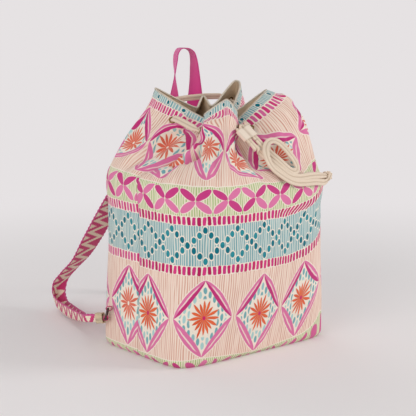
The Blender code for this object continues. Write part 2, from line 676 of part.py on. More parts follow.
def build_eyelet(name, seat):
    """Make one eyelet: two flanges and the barrel between them, turned about its own axis."""
    under = WALL + PIECE_GAP
    profile = [
        (EYELET_HOLE_R, -under - EYELET_PLATE), (EYELET_BACK_R, -under - EYELET_PLATE),
        (EYELET_BACK_R, -under), (EYELET_BARREL_R, -under), (EYELET_BARREL_R, PIECE_GAP),
        (EYELET_FLANGE_R, PIECE_GAP), (EYELET_FLANGE_R, PIECE_GAP + EYELET_PLATE / 2),
        (EYELET_FLANGE_R - EYELET_PLATE, PIECE_GAP + EYELET_PLATE), (EYELET_HOLE_R, PIECE_GAP + EYELET_PLATE),
    ]
    count = len(profile)
    mesh = bpy.data.meshes.new(name)
    mesh.from_pydata([(r, 0.0, z) for r, z in profile], [(i, (i + 1) % count) for i in range(count)], [])
    ob = add_object(name, mesh, metal(name, "brass"))
    turned = ob.modifiers.new("turned", "SCREW")
    turned.angle = 2 * math.pi
    turned.steps = EYELET_STEPS
    turned.render_steps = EYELET_STEPS
    turned.use_merge_vertices = True
    turned.merge_threshold = MERGE
    turned.use_normal_calculate = True
    turned.use_normal_flip = True
    axis = Vector(seat.normal)
    turn = axis.to_track_quat("Z", "Y").to_matrix().to_4x4()
    ob.matrix_world = Matrix.Translation(Vector(seat.centre)) @ turn


# Drawcord, slider and knot

def bend(p0, d0, p1, d1, pull, count):
    """Return the points between two ends of a smooth run that leaves along d0 and arrives along d1."""
    q = np.linspace(0, 1, count + 2)[1:-1, None]
    return ((2 * q**3 - 3 * q**2 + 1) * p0 + (q**3 - 2 * q**2 + q) * d0 * pull
            + (3 * q**2 - 2 * q**3) * p1 + (q**3 - q**2) * d1 * pull)


def eyelet_end(seat, side):
    """Return the point and direction of the cord on the outer side (1) or inner side (-1)."""
    middle = seat.centre - seat.normal * WALL / 2
    return middle + seat.normal * side * CORD_STANDOFF, seat.normal * side


def slider_frame():
    """Return the slider's axes: across the cords, along them, and outward."""
    along = unit(SLIDER_AXIS)
    across = np.array(SLIDER_ACROSS)
    across = unit(across - along * (across @ along))
    return across, along, np.cross(along, across)


def channel_ends(side):
    """Return where the straight cord of one channel starts above the slider and ends below it."""
    across, along, _ = slider_frame()
    middle = np.array(SLIDER_CENTRE) + across * side * CHANNEL_PITCH / 2
    half = SLIDER_L / 2
    return middle - along * (half + SLIDER_LEAD), middle + along * (half + SLIDER_TRAVEL), along


def drawcord_points():
    """Return the whole held route: slider, eyelets 1 to 8 in turn, and back through the slider."""
    seats = list(SEATS.values())
    start, low_end, along = channel_ends(-1)
    points = [low_end, start]
    place, out = eyelet_end(seats[0], 1)
    points += list(bend(start, -along, place, -out, SLIDER_LEAD_IN, LEAD_IN_POINTS))
    side = 1
    for number, seat in enumerate(seats):
        enter, _ = eyelet_end(seat, side)
        leave, out = eyelet_end(seat, -side)
        points += [enter, leave]
        side = -side
        if number + 1 < len(seats):
            place, arrive = eyelet_end(seats[number + 1], side)
            pull = CORD_PULL * np.linalg.norm(place - leave)
            points += list(bend(leave, out, place, -arrive, pull, CORD_RUN_POINTS))
    start, low_end, along = channel_ends(1)
    points += list(bend(leave, out, start, along, SLIDER_LEAD_OUT, LEAD_OUT_POINTS))
    points += [start, low_end]
    return points


def build_drawcord():
    """Make the drawcord, its two free ends and the knot that joins them."""
    tube("drawcord", drawcord_points(), CORD_R, cloth("drawcord", "drawcord"))
    knot = np.array(KNOT_CENTRE)
    for name, side, route in (("drawcord_end_left", -1, END_LEFT_ROUTE),
                              ("drawcord_end_right", 1, END_RIGHT_ROUTE)):
        _, low_end, along = channel_ends(side)
        points = [low_end + along * PIECE_GAP, low_end + along * END_LEAD]
        points += [cloth_point(s, t, lift) for s, t, lift in route]
        reach = knot - points[-1]
        distance = np.linalg.norm(reach)
        points.append(points[-1] + reach * (1 - (max(KNOT_SIZE) / 2 + PIECE_GAP) / distance))
        tube(name, points, CORD_R, cloth(name, "drawcord"))
    mesh = bpy.data.meshes.new("drawcord_knot")
    bm = bmesh.new()
    bmesh.ops.create_uvsphere(bm, u_segments=KNOT_SEGMENTS, v_segments=KNOT_RINGS, radius=0.5,
                              matrix=Matrix.Diagonal((*KNOT_SIZE, 1.0)))
    bm.to_mesh(mesh)
    bm.free()
    add_object("drawcord_knot", mesh, cloth("drawcord_knot", "drawcord")).location = KNOT_CENTRE


def build_slider():
    """Make the slider and the empty that it slides with."""
    across, along, outward = slider_frame()
    place = frame(across, -along, outward, SLIDER_CENTRE)
    slider = box("cord_slider", (SLIDER_W, SLIDER_L, SLIDER_H), place, cloth("cord_slider", "drawcord"),
                 bevel=SLIDER_BEVEL)
    for side in (-1, 1):
        middle = np.array(SLIDER_CENTRE) + across * side * CHANNEL_PITCH / 2
        channel = box("slider_channel_" + ("left" if side < 0 else "right"),
                      (CHANNEL_W, SLIDER_L * CUT_LENGTH, CHANNEL_H), frame(across, -along, outward, middle),
                      None, CUTTERS)
        cut(slider, channel)
    axis = bpy.data.objects.new("slider_axis", None)
    axis.matrix_world = place
    PARTS.objects.link(axis)
    bpy.context.view_layer.update()
    slider.parent = axis
    slider.matrix_parent_inverse = axis.matrix_world.inverted()


# Webbing

def anchor_rows(s, heights, width, thickness):
    """Return rows of webbing that lie on the cloth round one place."""
    pair = np.array([s - FOLD_SAMPLE, s + FOLD_SAMPLE])
    run = np.diff(outer_face(pair, np.array(heights[:1])), axis=1)
    stretch = np.linalg.norm(run) / (2 * FOLD_SAMPLE)
    across = s + np.linspace(-0.5, 0.5, WEBBING_COLUMNS) * width / stretch
    return cloth_face(across, np.array(heights), -(SEWN_GAP + thickness / 2))


def build_handle():
    """Make the handle: a strip sewn to the back at both ends, with a half twist in each leg."""
    left = anchor_rows(HANDLE_LEFT_S, HANDLE_ANCHOR_T, HANDLE_W, HANDLE_THICK)
    right = anchor_rows(HANDLE_RIGHT_S, HANDLE_ANCHOR_T[::-1], HANDLE_W, HANDLE_THICK)[:, ::-1]
    free = []
    for centre, turn in HANDLE_FREE:
        turn = math.radians(turn)
        width = np.array((math.cos(turn), math.sin(turn), 0)) * HANDLE_W
        free.append([np.array(centre) + width * k for k in np.linspace(-0.5, 0.5, WEBBING_COLUMNS)])
    webbing("top_handle", np.concatenate([left, np.array(free), right]), HANDLE_THICK,
            cloth("top_handle", "webbing"))


def collar_frame():
    """Return the left collar's axes (along the strap, up, and sideways) and its centre."""
    along = unit(COLLAR_AXIS)
    up = np.array((0.0, 0.0, 1.0))
    up = unit(up - along * (up @ along))
    contact, _ = end_loop_seat()
    return along, up, np.cross(along, up), contact - along * COLLAR_TO_RING


def ring_frame():
    """Return the left ring's axes: to its tab, along its plane, and through the ring."""
    up = unit(RING_UP)
    along = np.array(RING_ALONG)
    along = unit(along - up * (along @ up))
    return up, along, np.cross(up, along)


def end_loop_seat():
    """Return the point of the ring's wire that the strap's loop holds, and the wire's run there."""
    up, along, _ = ring_frame()
    turn = math.radians(END_LOOP_TURN)
    outward = -up * math.cos(turn) + along * math.sin(turn)
    run = up * math.sin(turn) + along * math.cos(turn)
    return np.array(RING_CENTRE) + outward * RING_R, run


def strap_rows(side):
    """Return the rows of a shoulder strap: sewn end, hanging part, gutter and gathered end."""
    s = STRAP_LEFT_S if side < 0 else PERIMETER - STRAP_LEFT_S
    sewn = anchor_rows(s, STRAP_ANCHOR_T, STRAP_W, STRAP_THICK)
    if side > 0:
        sewn = sewn[:, ::-1]
    mirror = np.array((-side, 1.0, 1.0))
    rows = []
    for fold, near, far in STRAP_FREE:
        fold, near, far = np.array(fold), np.array(near), np.array(far)
        rows.append([fold + near, fold + near * STRAP_KNEE, fold, fold + far * STRAP_KNEE, fold + far])
    along, up, across, centre = collar_frame()
    for back in STRAP_END_STEPS:
        fold = centre - along * back - up * (STRAP_END_W - STRAP_THICK / 2) / 2
        knee = up * STRAP_END_SPREAD * STRAP_END_KNEE
        edge = up * STRAP_END_W
        spread = across * STRAP_END_SPREAD
        rows.append([fold + spread + edge, fold + spread + knee, fold, fold - spread + knee,
                     fold - spread + edge])
    return np.concatenate([sewn, np.array(rows) * mirror])


def band(name, centre, reach, run, length, mat):
    """Make a flat loop of webbing: round a wire at one end, and closed again at the other."""
    inner = RING_WIRE_R + LOOP_CLEAR
    cross = np.cross(run, reach)
    middle = inner + LOOP_THICK / 2
    outline = []
    for start, origin in ((90, 0.0), (-90, length)):
        for k in range(LOOP_ARC_STEPS + 1):
            turn = math.radians(start + 180 * k / LOOP_ARC_STEPS)
            outline.append(centre + reach * (origin + middle * math.cos(turn))
                           + cross * middle * math.sin(turn))
    mesh = bpy.data.meshes.new(name)
    bm = bmesh.new()
    low = [bm.verts.new(p - run * LOOP_W / 2) for p in outline]
    high = [bm.verts.new(p + run * LOOP_W / 2) for p in outline]
    count = len(outline)
    for i in range(count):
        k = (i + 1) % count
        bm.faces.new((low[i], low[k], high[k], high[i]))
    bmesh.ops.recalc_face_normals(bm, faces=bm.faces)
    bm.to_mesh(mesh)
    bm.free()
    ob = add_object(name, mesh, mat)
    thick = ob.modifiers.new("webbing thickness", "SOLIDIFY")
    thick.thickness = LOOP_THICK
    thick.offset = 0.0
    thick.use_even_offset = True


def build_side(side):
    """Make one shoulder strap with its collar, loop, ring and tab."""
    word = "left" if side < 0 else "right"
    mirror = np.array((-side, 1.0, 1.0))
    webbing("strap_" + word, strap_rows(side), STRAP_THICK, cloth("strap_" + word, "webbing"))

    along, up, across, centre = (v * mirror for v in collar_frame())
    collar = box("strap_collar_" + word, (COLLAR_H, COLLAR_L, COLLAR_W),
                 frame(across, along, up, centre) if side < 0 else frame(-across, along, up, centre),
                 cloth("strap_collar_" + word, "beige"), bevel=COLLAR_BEVEL)
    bore = (COLLAR_H - 2 * COLLAR_WALL, COLLAR_L * CUT_LENGTH, COLLAR_W - 2 * COLLAR_WALL)
    cut(collar, box("collar_bore_" + word, bore, collar.matrix_world.copy(), None, CUTTERS))

    contact, run = (v * mirror for v in end_loop_seat())
    reach = -along - run * (-along @ run)
    band("strap_end_loop_" + word, contact, unit(reach), run, END_LOOP_REACH,
         cloth("strap_end_loop_" + word, "webbing"))

    ring_up, ring_along, _ = (v * mirror for v in ring_frame())
    ring_centre = np.array(RING_CENTRE) * mirror
    place = frame(ring_up, ring_along, np.cross(ring_up, ring_along), ring_centre)
    bpy.ops.mesh.primitive_torus_add(major_radius=RING_R, minor_radius=RING_WIRE_R,
                                     major_segments=RING_SEGMENTS, minor_segments=RING_SIDES)
    ring = bpy.context.object
    ring.name = "ring_" + word
    ring.data.name = ring.name
    for collection in list(ring.users_collection):
        collection.objects.unlink(ring)
    PARTS.objects.link(ring)
    ring.data.materials.append(metal(ring.name, "steel"))
    ring.matrix_world = place
    axis = bpy.data.objects.new("ring_axis_" + word, None)
    axis.matrix_world = place
    PARTS.objects.link(axis)
    bpy.context.view_layer.update()
    ring.parent = axis
    ring.matrix_parent_inverse = axis.matrix_world.inverted()

    inward = np.array((-side, 0.0, 0.0))
    inward = inward - ring_along * (inward @ ring_along)
    band("ring_tab_" + word, ring_centre + ring_up * RING_R, unit(inward), ring_along, TAB_REACH,
         cloth("ring_tab_" + word, "webbing"))


def main():
    """Build every piece of the backpack."""
    front = build_panel("front_panel", -SEAM_S, SEAM_S, "front_panel")
    back = build_panel("back_panel", SEAM_S, PERIMETER - SEAM_S, "back_panel")
    around = np.concatenate([front[:-1], back[:-1]])
    build_lining(around)
    build_base(around)
    for name, seat in SEATS.items():
        build_eyelet(name, seat)
    build_drawcord()
    build_slider()
    build_handle()
    build_side(-1)
    build_side(1)


main()
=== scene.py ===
"""Looks of the printed drawcord backpack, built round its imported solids.

Cloth, webbing and cords are surfaces worked out from the same shape as the solids: a place s
round the bag, measured from the front centre toward -X, and a height t along the cloth. The
print follows s and t too, so it runs over the folds as it would on sewn cloth.
"""
import logging
import math
from dataclasses import dataclass, field
from enum import Enum
from typing import Optional, Sequence, Union

import bpy
import numpy as np
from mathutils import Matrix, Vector


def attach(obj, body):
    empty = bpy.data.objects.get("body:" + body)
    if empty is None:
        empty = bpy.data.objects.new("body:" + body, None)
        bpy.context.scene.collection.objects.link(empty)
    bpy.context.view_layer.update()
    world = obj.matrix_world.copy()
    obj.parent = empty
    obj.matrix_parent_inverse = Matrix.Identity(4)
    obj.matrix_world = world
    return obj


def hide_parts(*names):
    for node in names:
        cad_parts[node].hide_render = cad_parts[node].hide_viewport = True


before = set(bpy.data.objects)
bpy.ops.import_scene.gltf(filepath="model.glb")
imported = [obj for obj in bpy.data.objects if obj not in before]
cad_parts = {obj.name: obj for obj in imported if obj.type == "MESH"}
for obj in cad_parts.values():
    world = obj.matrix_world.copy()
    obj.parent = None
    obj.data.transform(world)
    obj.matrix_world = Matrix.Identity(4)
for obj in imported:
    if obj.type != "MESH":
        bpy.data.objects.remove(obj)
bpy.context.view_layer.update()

LOG = logging.getLogger("backpack")
Pair = tuple[float, float]
Triple = tuple[float, float, float]
Colour = tuple[float, float, float]
Operand = Union["Value", float]
Array = np.ndarray
Piece = bpy.types.Object

# The cloth's own sizes, as in the solids
PERIMETER = 0.944
SHOULDER_T = 0.262
RIM_T = 0.420
SHOULDER_TILT = 0.006
TILT_START_T = 0.140
TILT_RISE_T = 0.120
TILT_DEPTH = 0.125
SEAM_S = PERIMETER / 4
BACK_S = PERIMETER / 2
CANVAS = 0.0008
LINING = 0.0005
LAYER_GAP = 0.0003
PIECE_GAP = 0.0003
SEAM_GAP = 0.0005
SEWN_GAP = 0.0007
LINING_FACE = CANVAS + LAYER_GAP
WALL = LINING_FACE + LINING
LINING_FLOOR_Z = 0.0028
LINING_PITCH = 0.0012
MOUTH_CENTRE = (0.006, 0.004)
FOLD_SAMPLE = 0.001
NORMAL_SAMPLE = 0.0002
OUTLINE_STEPS = 1441
RESAMPLE_STEPS = 6
# Section of the rolled tape: the powers of its width and height, and its groove's half width
TAPE_SHAPE = (0.6, 0.75)
TAPE_GROOVE = 0.24
# A direction that no axis in the scene has
ODD_WAY = (0.31, 0.52, 0.79)

# cloth height, half width, half depth, squareness, height above the floor
LEVELS = np.array([
    (0.000, 0.1486, 0.1038, 7.5, 0.000), (0.070, 0.1462, 0.1190, 5.0, 0.070),
    (0.140, 0.1440, 0.1290, 3.8, 0.139), (0.210, 0.1440, 0.1285, 3.7, 0.208),
    (0.262, 0.1455, 0.1270, 3.7, 0.258), (0.300, 0.1260, 0.1080, 3.2, 0.287),
    (0.360, 0.0900, 0.0760, 2.8, 0.330), (0.420, 0.0600, 0.0500, 2.4, 0.350),
])


@dataclass(frozen=True)
class FoldLine:
    """One line that the gathered top follows from the shoulder to the rim.

    Attributes:
        place: Where it starts on the shoulder.
        rim: Its point on the rim.
        lean: How far it leans inward at the rim, in degrees.
        start: Length of its first tangent.
        end: Length of its last tangent.
        sharp: How the width is shared with the neighbours; 1 is an even wave.
        sag: How far its middle is moved.
        run_on: How much of the neighbours' slope it takes over.
    """

    place: float
    rim: Triple
    lean: float
    start: float = 1.0
    end: float = 1.0
    sharp: float = 1.0
    sag: Triple = (0.0, 0.0, 0.0)
    run_on: float = 0.0


FOLD_LINES = [
    FoldLine(-0.002, (0.002, -0.018, 0.324), 75, 0.6, 1.0, 0.9, (-0.022, -0.014, -0.012)),
    FoldLine(0.048, (-0.008, -0.060, 0.351), 15, sag=(-0.006, 0.0, 0.0), run_on=0.8),
    FoldLine(0.080, (-0.036, -0.069, 0.371), 20),
    FoldLine(0.112, (-0.051, -0.048, 0.355), 20, run_on=0.8),
    FoldLine(0.234, (-0.014, -0.012, 0.334), 70, 0.8, 1.0, 0.8, (-0.006, -0.006, -0.014)),
    FoldLine(0.352, (-0.068, 0.057, 0.383), 18, 1.3, 1.2, 1.0, (-0.004, 0.004, 0.0)),
    FoldLine(0.430, (-0.003, 0.040, 0.353), 35),
    FoldLine(0.472, (0.029, 0.062, 0.368), 30, sharp=1.15),
    FoldLine(0.514, (0.025, 0.037, 0.355), 35),
    FoldLine(0.590, (0.076, 0.038, 0.391), 20),
    FoldLine(0.708, (0.030, -0.004, 0.345), 60, sharp=0.8),
    FoldLine(0.800, (0.059, -0.049, 0.381), 75, 1.1, 1.4, sag=(0.004, 0.0, 0.0)),
]
EYELET_T = 0.393
EYELETS = {
    "eyelet_1": 0.047, "eyelet_2": 0.155, "eyelet_3": 0.283, "eyelet_4": 0.375,
    "eyelet_5": PERIMETER - 0.375, "eyelet_6": PERIMETER - 0.283,
    "eyelet_7": PERIMETER - 0.160, "eyelet_8": PERIMETER - 0.045,
}
FLAT_R = 0.0115
FLAT_FADE_R = 0.0200

# Deep folds of the gathered top: points (s, t), depth at each end, half width
FURROWS = [
    ([(0.133, 0.345), (0.150, 0.335), (0.168, 0.329), (0.190, 0.327), (0.212, 0.325)],
     0.0230, 0.0030, 0.0085),
    ([(0.269, 0.400), (0.272, 0.370), (0.272, 0.345), (0.273, 0.315), (0.277, 0.288)],
     0.0110, 0.0030, 0.0100),
    ([(0.064, 0.400), (0.055, 0.382), (0.049, 0.362), (0.052, 0.340)], 0.0030, 0.0010, 0.0055),
    ([(-0.060, 0.392), (-0.066, 0.366), (-0.079, 0.341), (-0.098, 0.312)], 0.0022, 0.0008, 0.0060),
    ([(-0.020, 0.352), (-0.024, 0.322), (-0.036, 0.296), (-0.060, 0.276)], 0.0026, 0.0010, 0.0070),
    ([(0.020, 0.330), (0.026, 0.305), (0.030, 0.280)], 0.0018, 0.0006, 0.0055),
]
LIP_SHIFT = 0.0125
LIP_SHARE = 0.45


def linear(r: int, g: int, b: int) -> Colour:
    """Return a screen colour of 0 to 255 as a linear one."""
    return tuple(c / 3294.6 if c <= 10.3 else ((c / 255 + 0.055) / 1.055) ** 2.4 for c in (r, g, b))


CREAM = linear(242, 230, 214)
PEACH = linear(238, 206, 190)
PEACH_LINE = linear(202, 136, 116)
GREEN_GROUND = linear(204, 208, 164)
GREEN_LINE = linear(138, 176, 84)
TEAL_GROUND = linear(134, 184, 190)
TEAL_LINE = linear(72, 142, 154)
TEAL_DARK = linear(0, 110, 126)
TEAL_LIGHT = linear(36, 138, 150)
BRUSH_LIGHT = linear(156, 204, 204)
BRUSH_DARK = linear(84, 162, 172)
MAGENTA = linear(208, 16, 104)
MAGENTA_DEEP = linear(164, 8, 76)
PINK = linear(198, 50, 126)
PINK_LIGHT = linear(224, 122, 168)
LEAF_DARK = linear(192, 44, 116)
ORANGE = linear(240, 106, 54)
ORANGE_DEEP = linear(220, 72, 40)
CORAL = linear(228, 112, 86)
CORAL_DEEP = linear(206, 96, 76)
DASH_PINK = linear(216, 56, 128)
DASH_DEEP = linear(206, 34, 112)
LINING_TONE = linear(246, 216, 180)
CORD_TONE = linear(240, 221, 200)
KEEPER_TONE = linear(248, 232, 214)
HANDLE_TONE = linear(226, 68, 150)
STRAP_PINK = linear(218, 62, 124)
STRAP_BEIGE = linear(254, 240, 214)
STRAP_EDGE = linear(208, 78, 140)
RIM_TONE = linear(240, 226, 206)
BASE_TONE = linear(226, 210, 190)
COLLAR_TONE = linear(224, 202, 168)
BRASS_TONE = linear(150, 120, 74)
STEEL_TONE = linear(96, 84, 80)
BACKGROUND = linear(230, 226, 227)
FLOOR_TONE = linear(243, 239, 239)
WHITE = (1.0, 1.0, 1.0)


def unit(v: Sequence[float]) -> Array:
    """Return the vector, or each row of a table of them, scaled to length one."""
    v = np.asarray(v, float)
    return v / np.linalg.norm(v, axis=-1, keepdims=True)


def fade(x: Array, low: float, high: float) -> Array:
    """Return 0 below low and 1 above high, with the smooth step 3q2 - 2q3 between them."""
    q = np.clip((x - low) / (high - low), 0, 1)
    return q * q * (3 - 2 * q)


def wave(x: Array) -> Array:
    """Return a sine raised so that it runs from 0 to 1."""
    return 0.5 + 0.5 * np.sin(x)


def bell(x: Array, width: float) -> Array:
    """Return a bell curve: 1 at zero, falling off as exp of minus the square of x over its width."""
    return np.exp(-(x / width)**2)


def square_to(v: Sequence[float], axis: Array) -> Array:
    """Return the part of v, or of each row, at right angles to a unit axis, scaled to length one."""
    v = np.asarray(v, float)
    return unit(v - axis * (v * axis).sum(-1, keepdims=True))


def oblong(steps: int, wide: float, high: float) -> tuple[Array, Array]:
    """Return x and y of a rounded oblong of half size one: cos a and sin a, each raised to a power."""
    a = np.linspace(0, 2 * math.pi, steps, endpoint=False)
    return tuple(np.sign(f(a)) * np.abs(f(a))**power for f, power in ((np.cos, wide), (np.sin, high)))


def cubic(q: Array, p0: Array, d0: Array, p1: Array, d1: Array) -> Array:
    """Return the cubic that leaves p0 along d0 and arrives at p1 along d1, as q goes from 0 to 1."""
    return ((2 * q**3 - 3 * q**2 + 1) * p0 + (q**3 - 2 * q**2 + q) * d0
            + (3 * q**2 - 2 * q**3) * p1 + (q**3 - q**2) * d1)


def distances(points: Array) -> Array:
    """Return how far along a line each of its points lies."""
    return np.concatenate([[0], np.cumsum(np.linalg.norm(np.diff(points, axis=0), axis=1))])


def straight_table(x: Array, xp: Array, fp: Array) -> Array:
    """Return the rows of a table at x, with straight lines between its places xp."""
    return np.stack([np.interp(x, xp, column) for column in fp.T], -1)


def smooth_table(x: Array, xp: Array, fp: Array) -> Array:
    """Interpolate the rows of a table with cubics whose slopes come from the neighbouring rows.

    Args:
        x: Where to read the table.
        xp: The table's places, rising.
        fp: The table's rows.

    Returns:
        One row for each x.
    """
    slope = np.gradient(fp, xp, axis=0)
    i = np.clip(np.searchsorted(xp, x, side="right") - 1, 0, len(xp) - 2)
    shape = (-1,) + (1,) * (fp.ndim - 1)
    h = (xp[i + 1] - xp[i]).reshape(shape)
    return cubic((x - xp[i]).reshape(shape) / h, fp[i], h * slope[i], fp[i + 1], h * slope[i + 1])


def averaged(rows: Array, weight: Array) -> Array:
    """Return each run of rows averaged with a weight, which shortens the table."""
    return np.stack([np.convolve(column, weight / weight.sum(), "valid") for column in rows.T], -1)


def resample(points: Array, count: int) -> tuple[Array, Array]:
    """Return count evenly spread points of a smooth line, and their distance along it."""
    far = distances(points)
    fine = smooth_table(np.linspace(0, far[-1], count * RESAMPLE_STEPS), far, points)
    along = distances(fine)
    at = np.linspace(0, along[-1], count)
    return straight_table(at, along, fine), at


def from_front(s: Array) -> Array:
    """Return a place round the bag as the shorter way from the front centre, with its sign."""
    return np.mod(s + BACK_S, PERIMETER) - BACK_S


@dataclass(frozen=True)
class Ripple:
    """Furrows side by side round the bag: a sine of the place, narrowed by a power."""

    pitch: float
    drift: float
    lean: float
    power: int

    def at(self, a: Array, b: Array, drift: Array) -> Array:
        """Return the furrows, from 0 to 1, at places a and heights b."""
        return wave(2 * math.pi * a / self.pitch + self.drift * drift + self.lean * b)**self.power


@dataclass(frozen=True)
class Creases:
    """Depths, pitches and places of the cloth's small creases."""

    drift_waves: tuple[Triple, ...] = ((0.7, 41.0, 9.0), (0.5, 23.0, -31.0))
    gather: Pair = (0.225, 0.300)
    fine: Ripple = Ripple(0.0295, 1.4, 0.0, 2)
    fine_depth: float = 0.0014
    small: Ripple = Ripple(0.0177, 2.1, 12.0, 3)
    small_depth: float = 0.0009
    broad: Ripple = Ripple(0.0472, 1.1, 6.0, 2)
    broad_depth: float = 0.0030
    broad_fine_depth: float = 0.0010
    broad_end: Pair = (0.360, 0.392)
    slack_waves: tuple[Triple, ...] = ((26.0, 44.0, 0.0), (17.0, -29.0, 1.3))
    slack_depth: float = 0.0007
    slack_full: float = 0.040
    pucker: Ripple = Ripple(0.021, 1.0, 0.0, 1)
    pucker_rows: Pair = (0.140, 0.2125)
    pucker_depth: float = 0.0005
    pucker_width: float = 0.006
    seam_depth: float = 0.0011
    seam_width: float = 0.0024
    seam_pucker_depth: float = 0.0006
    seam_pucker_width: float = 0.010
    seam_pucker_pitch: float = 0.013
    seam_pucker_share: float = 0.4
    rim_calm: float = 0.8
    rim_calm_at: Pair = (0.400, 0.418)


CREASES = Creases()


@dataclass(frozen=True)
class Seat:
    """The flat spot of one eyelet, with the cloth's stretch round the bag and upward."""

    place: float
    centre: Array
    normal: Array
    stretch_s: float
    stretch_t: float


class ClothShape:
    """The outer face of the bag's cloth as a function of place s and height t."""

    def __init__(self) -> None:
        """Find the flat spot of each eyelet on the folded cloth."""
        self.seats: dict[str, Seat] = {}
        for name, s in EYELETS.items():
            around = FOLD_SAMPLE * np.array([-1, 0, 1])
            grid = self.folded(s + around, EYELET_T + around)
            along_s = (grid[1, 2] - grid[1, 0]) / (2 * FOLD_SAMPLE)
            along_t = (grid[2, 1] - grid[0, 1]) / (2 * FOLD_SAMPLE)
            self.seats[name] = Seat(s, grid[1, 1], unit(np.cross(along_t, along_s)),
                                    float(np.linalg.norm(along_s)), float(np.linalg.norm(along_t)))

    @staticmethod
    def outline(half_w: float, half_d: float, squareness: float, u: Array) -> Array:
        """Return plan points at fractions u of a superellipse's length, from the front to -X."""
        angle = -np.linspace(0, 2 * math.pi, OUTLINE_STEPS) - math.pi / 2
        c, s = np.cos(angle), np.sin(angle)
        r = (np.abs(c / half_w)**squareness + np.abs(s / half_d)**squareness)**(-1 / squareness)
        plan = np.column_stack([r * c, r * s])
        length = distances(plan)
        return straight_table(np.mod(u, 1.0) * length[-1], length, plan)

    def body(self, s: Array, t: Array) -> Array:
        """Return the body without folds: one row for each height, a superellipse of its level."""
        rows = []
        for height, (half_w, half_d, square, z) in zip(t, smooth_table(t, LEVELS[:, 0], LEVELS[:, 1:])):
            plan = self.outline(half_w, half_d, square, s / PERIMETER)
            rise = SHOULDER_TILT * np.clip((height - TILT_START_T) / TILT_RISE_T, 0, 1)**2
            rows.append(np.column_stack([plan, z + rise * plan[:, 1] / TILT_DEPTH]))
        return np.array(rows)

    def fold_curves(self, t: Array) -> Array:
        """Return each fold line above the shoulder: a cubic to its rim point, with a sag added."""
        length = RIM_T - SHOULDER_T
        q = np.clip((t - SHOULDER_T) / length, 0, None)[:, None]
        curves = []
        for line in FOLD_LINES:
            heights = SHOULDER_T + FOLD_SAMPLE * np.array([-1, 0, 1])
            low, here, high = self.body(np.array([line.place]), heights)[:, 0]
            inward = unit((MOUTH_CENTRE[0] - line.rim[0], MOUTH_CENTRE[1] - line.rim[1], 0))
            turn = math.radians(line.lean)
            first = (high - low) / (2 * FOLD_SAMPLE) * length * line.start
            last = (np.array((0, 0, math.cos(turn))) + inward * math.sin(turn)) * length * line.end
            curves.append(cubic(q, here, first, np.array(line.rim), last)
                          + 16 * q**2 * (1 - q)**2 * np.array(line.sag))
        return np.stack(curves, 1)

    def folded(self, s: Array, t: Array) -> Array:
        """Return the cloth with its folds, blended between fold lines by a raised cosine."""
        grid = self.body(s, t)
        top = t > SHOULDER_T
        if not top.any():
            return grid
        table = np.array([(line.place, line.sharp, line.run_on) for line in FOLD_LINES])
        places, sharp, run_on = table.T
        shift = self.fold_curves(t[top]) - self.body(places, t[top])
        around = np.mod(s - places[0], PERIMETER) + places[0]
        ends = np.append(places, places[0] + PERIMETER)
        i = np.clip(np.searchsorted(ends, around, side="right") - 1, 0, len(places) - 1)
        j = (i + 1) % len(places)
        f = (around - ends[i]) / (ends[i + 1] - ends[i])
        g = 1 - (1 - f**sharp[i])**sharp[j]
        w = ((1 - np.cos(math.pi * g)) / 2)[None, :, None]
        width = np.diff(ends)
        step = (np.roll(shift, -1, axis=1) - shift) / width[None, :, None]
        slope = run_on[None, :, None] * (step + np.roll(step, 1, axis=1)) / 2
        q = f[None, :, None]
        ease = q * (1 - q)**2 * slope[:, i] - q**2 * (1 - q) * slope[:, j]
        grid[top] += shift[:, i] * (1 - w) + shift[:, j] * w + width[i][None, :, None] * ease
        return grid

    def near_eyelet(self, s: Array, t: Array) -> list[tuple[Array, Seat]]:
        """Return for each eyelet its share at each point, and its seat."""
        found = []
        for seat in self.seats.values():
            away = from_front(s - seat.place) * seat.stretch_s
            far = np.hypot(away[None, :], ((t - EYELET_T) * seat.stretch_t)[:, None])
            found.append((1 - fade(far, FLAT_R, FLAT_FADE_R), seat))
        return found

    def outer(self, s: Array, t: Array) -> Array:
        """Return the outer face, pressed flat round each eyelet."""
        grid = self.folded(s, t)
        for share, seat in self.near_eyelet(s, t):
            grid = grid - (((grid - seat.centre) @ seat.normal) * share)[..., None] * seat.normal
        return grid

    @staticmethod
    def furrows(s: Array, t: Array) -> Array:
        """Return the depth of the deep folds.

        The depth falls off as a bell curve of the distance from a line of points. A raised lip
        of the same form runs beside each fold, a step higher up the cloth.
        """
        a, b = np.meshgrid(from_front(s), t)
        total = np.zeros(a.shape)
        for line, first, last, width in FURROWS:
            for lift, share in ((0.0, 1.0), (LIP_SHIFT, -LIP_SHARE)):
                near = np.full(a.shape, np.inf)
                place = np.zeros(a.shape)
                pieces = len(line) - 1
                for k, ((s0, t0), (s1, t1)) in enumerate(zip(line, line[1:])):
                    run = np.array((s1 - s0, t1 - t0))
                    side = unit((-run[1], run[0]))
                    side = side * math.copysign(lift, side[np.abs(side).argmax()])
                    x, y = a - s0 - side[0], b - t0 - side[1]
                    q = np.clip((x * run[0] + y * run[1]) / (run @ run), 0, 1)
                    far = np.hypot(x - q * run[0], y - q * run[1])
                    place = np.where(far < near, (k + q) / pieces, place)
                    near = np.minimum(near, far)
                total += share * (first + (last - first) * place) * bell(near, width)
        return total

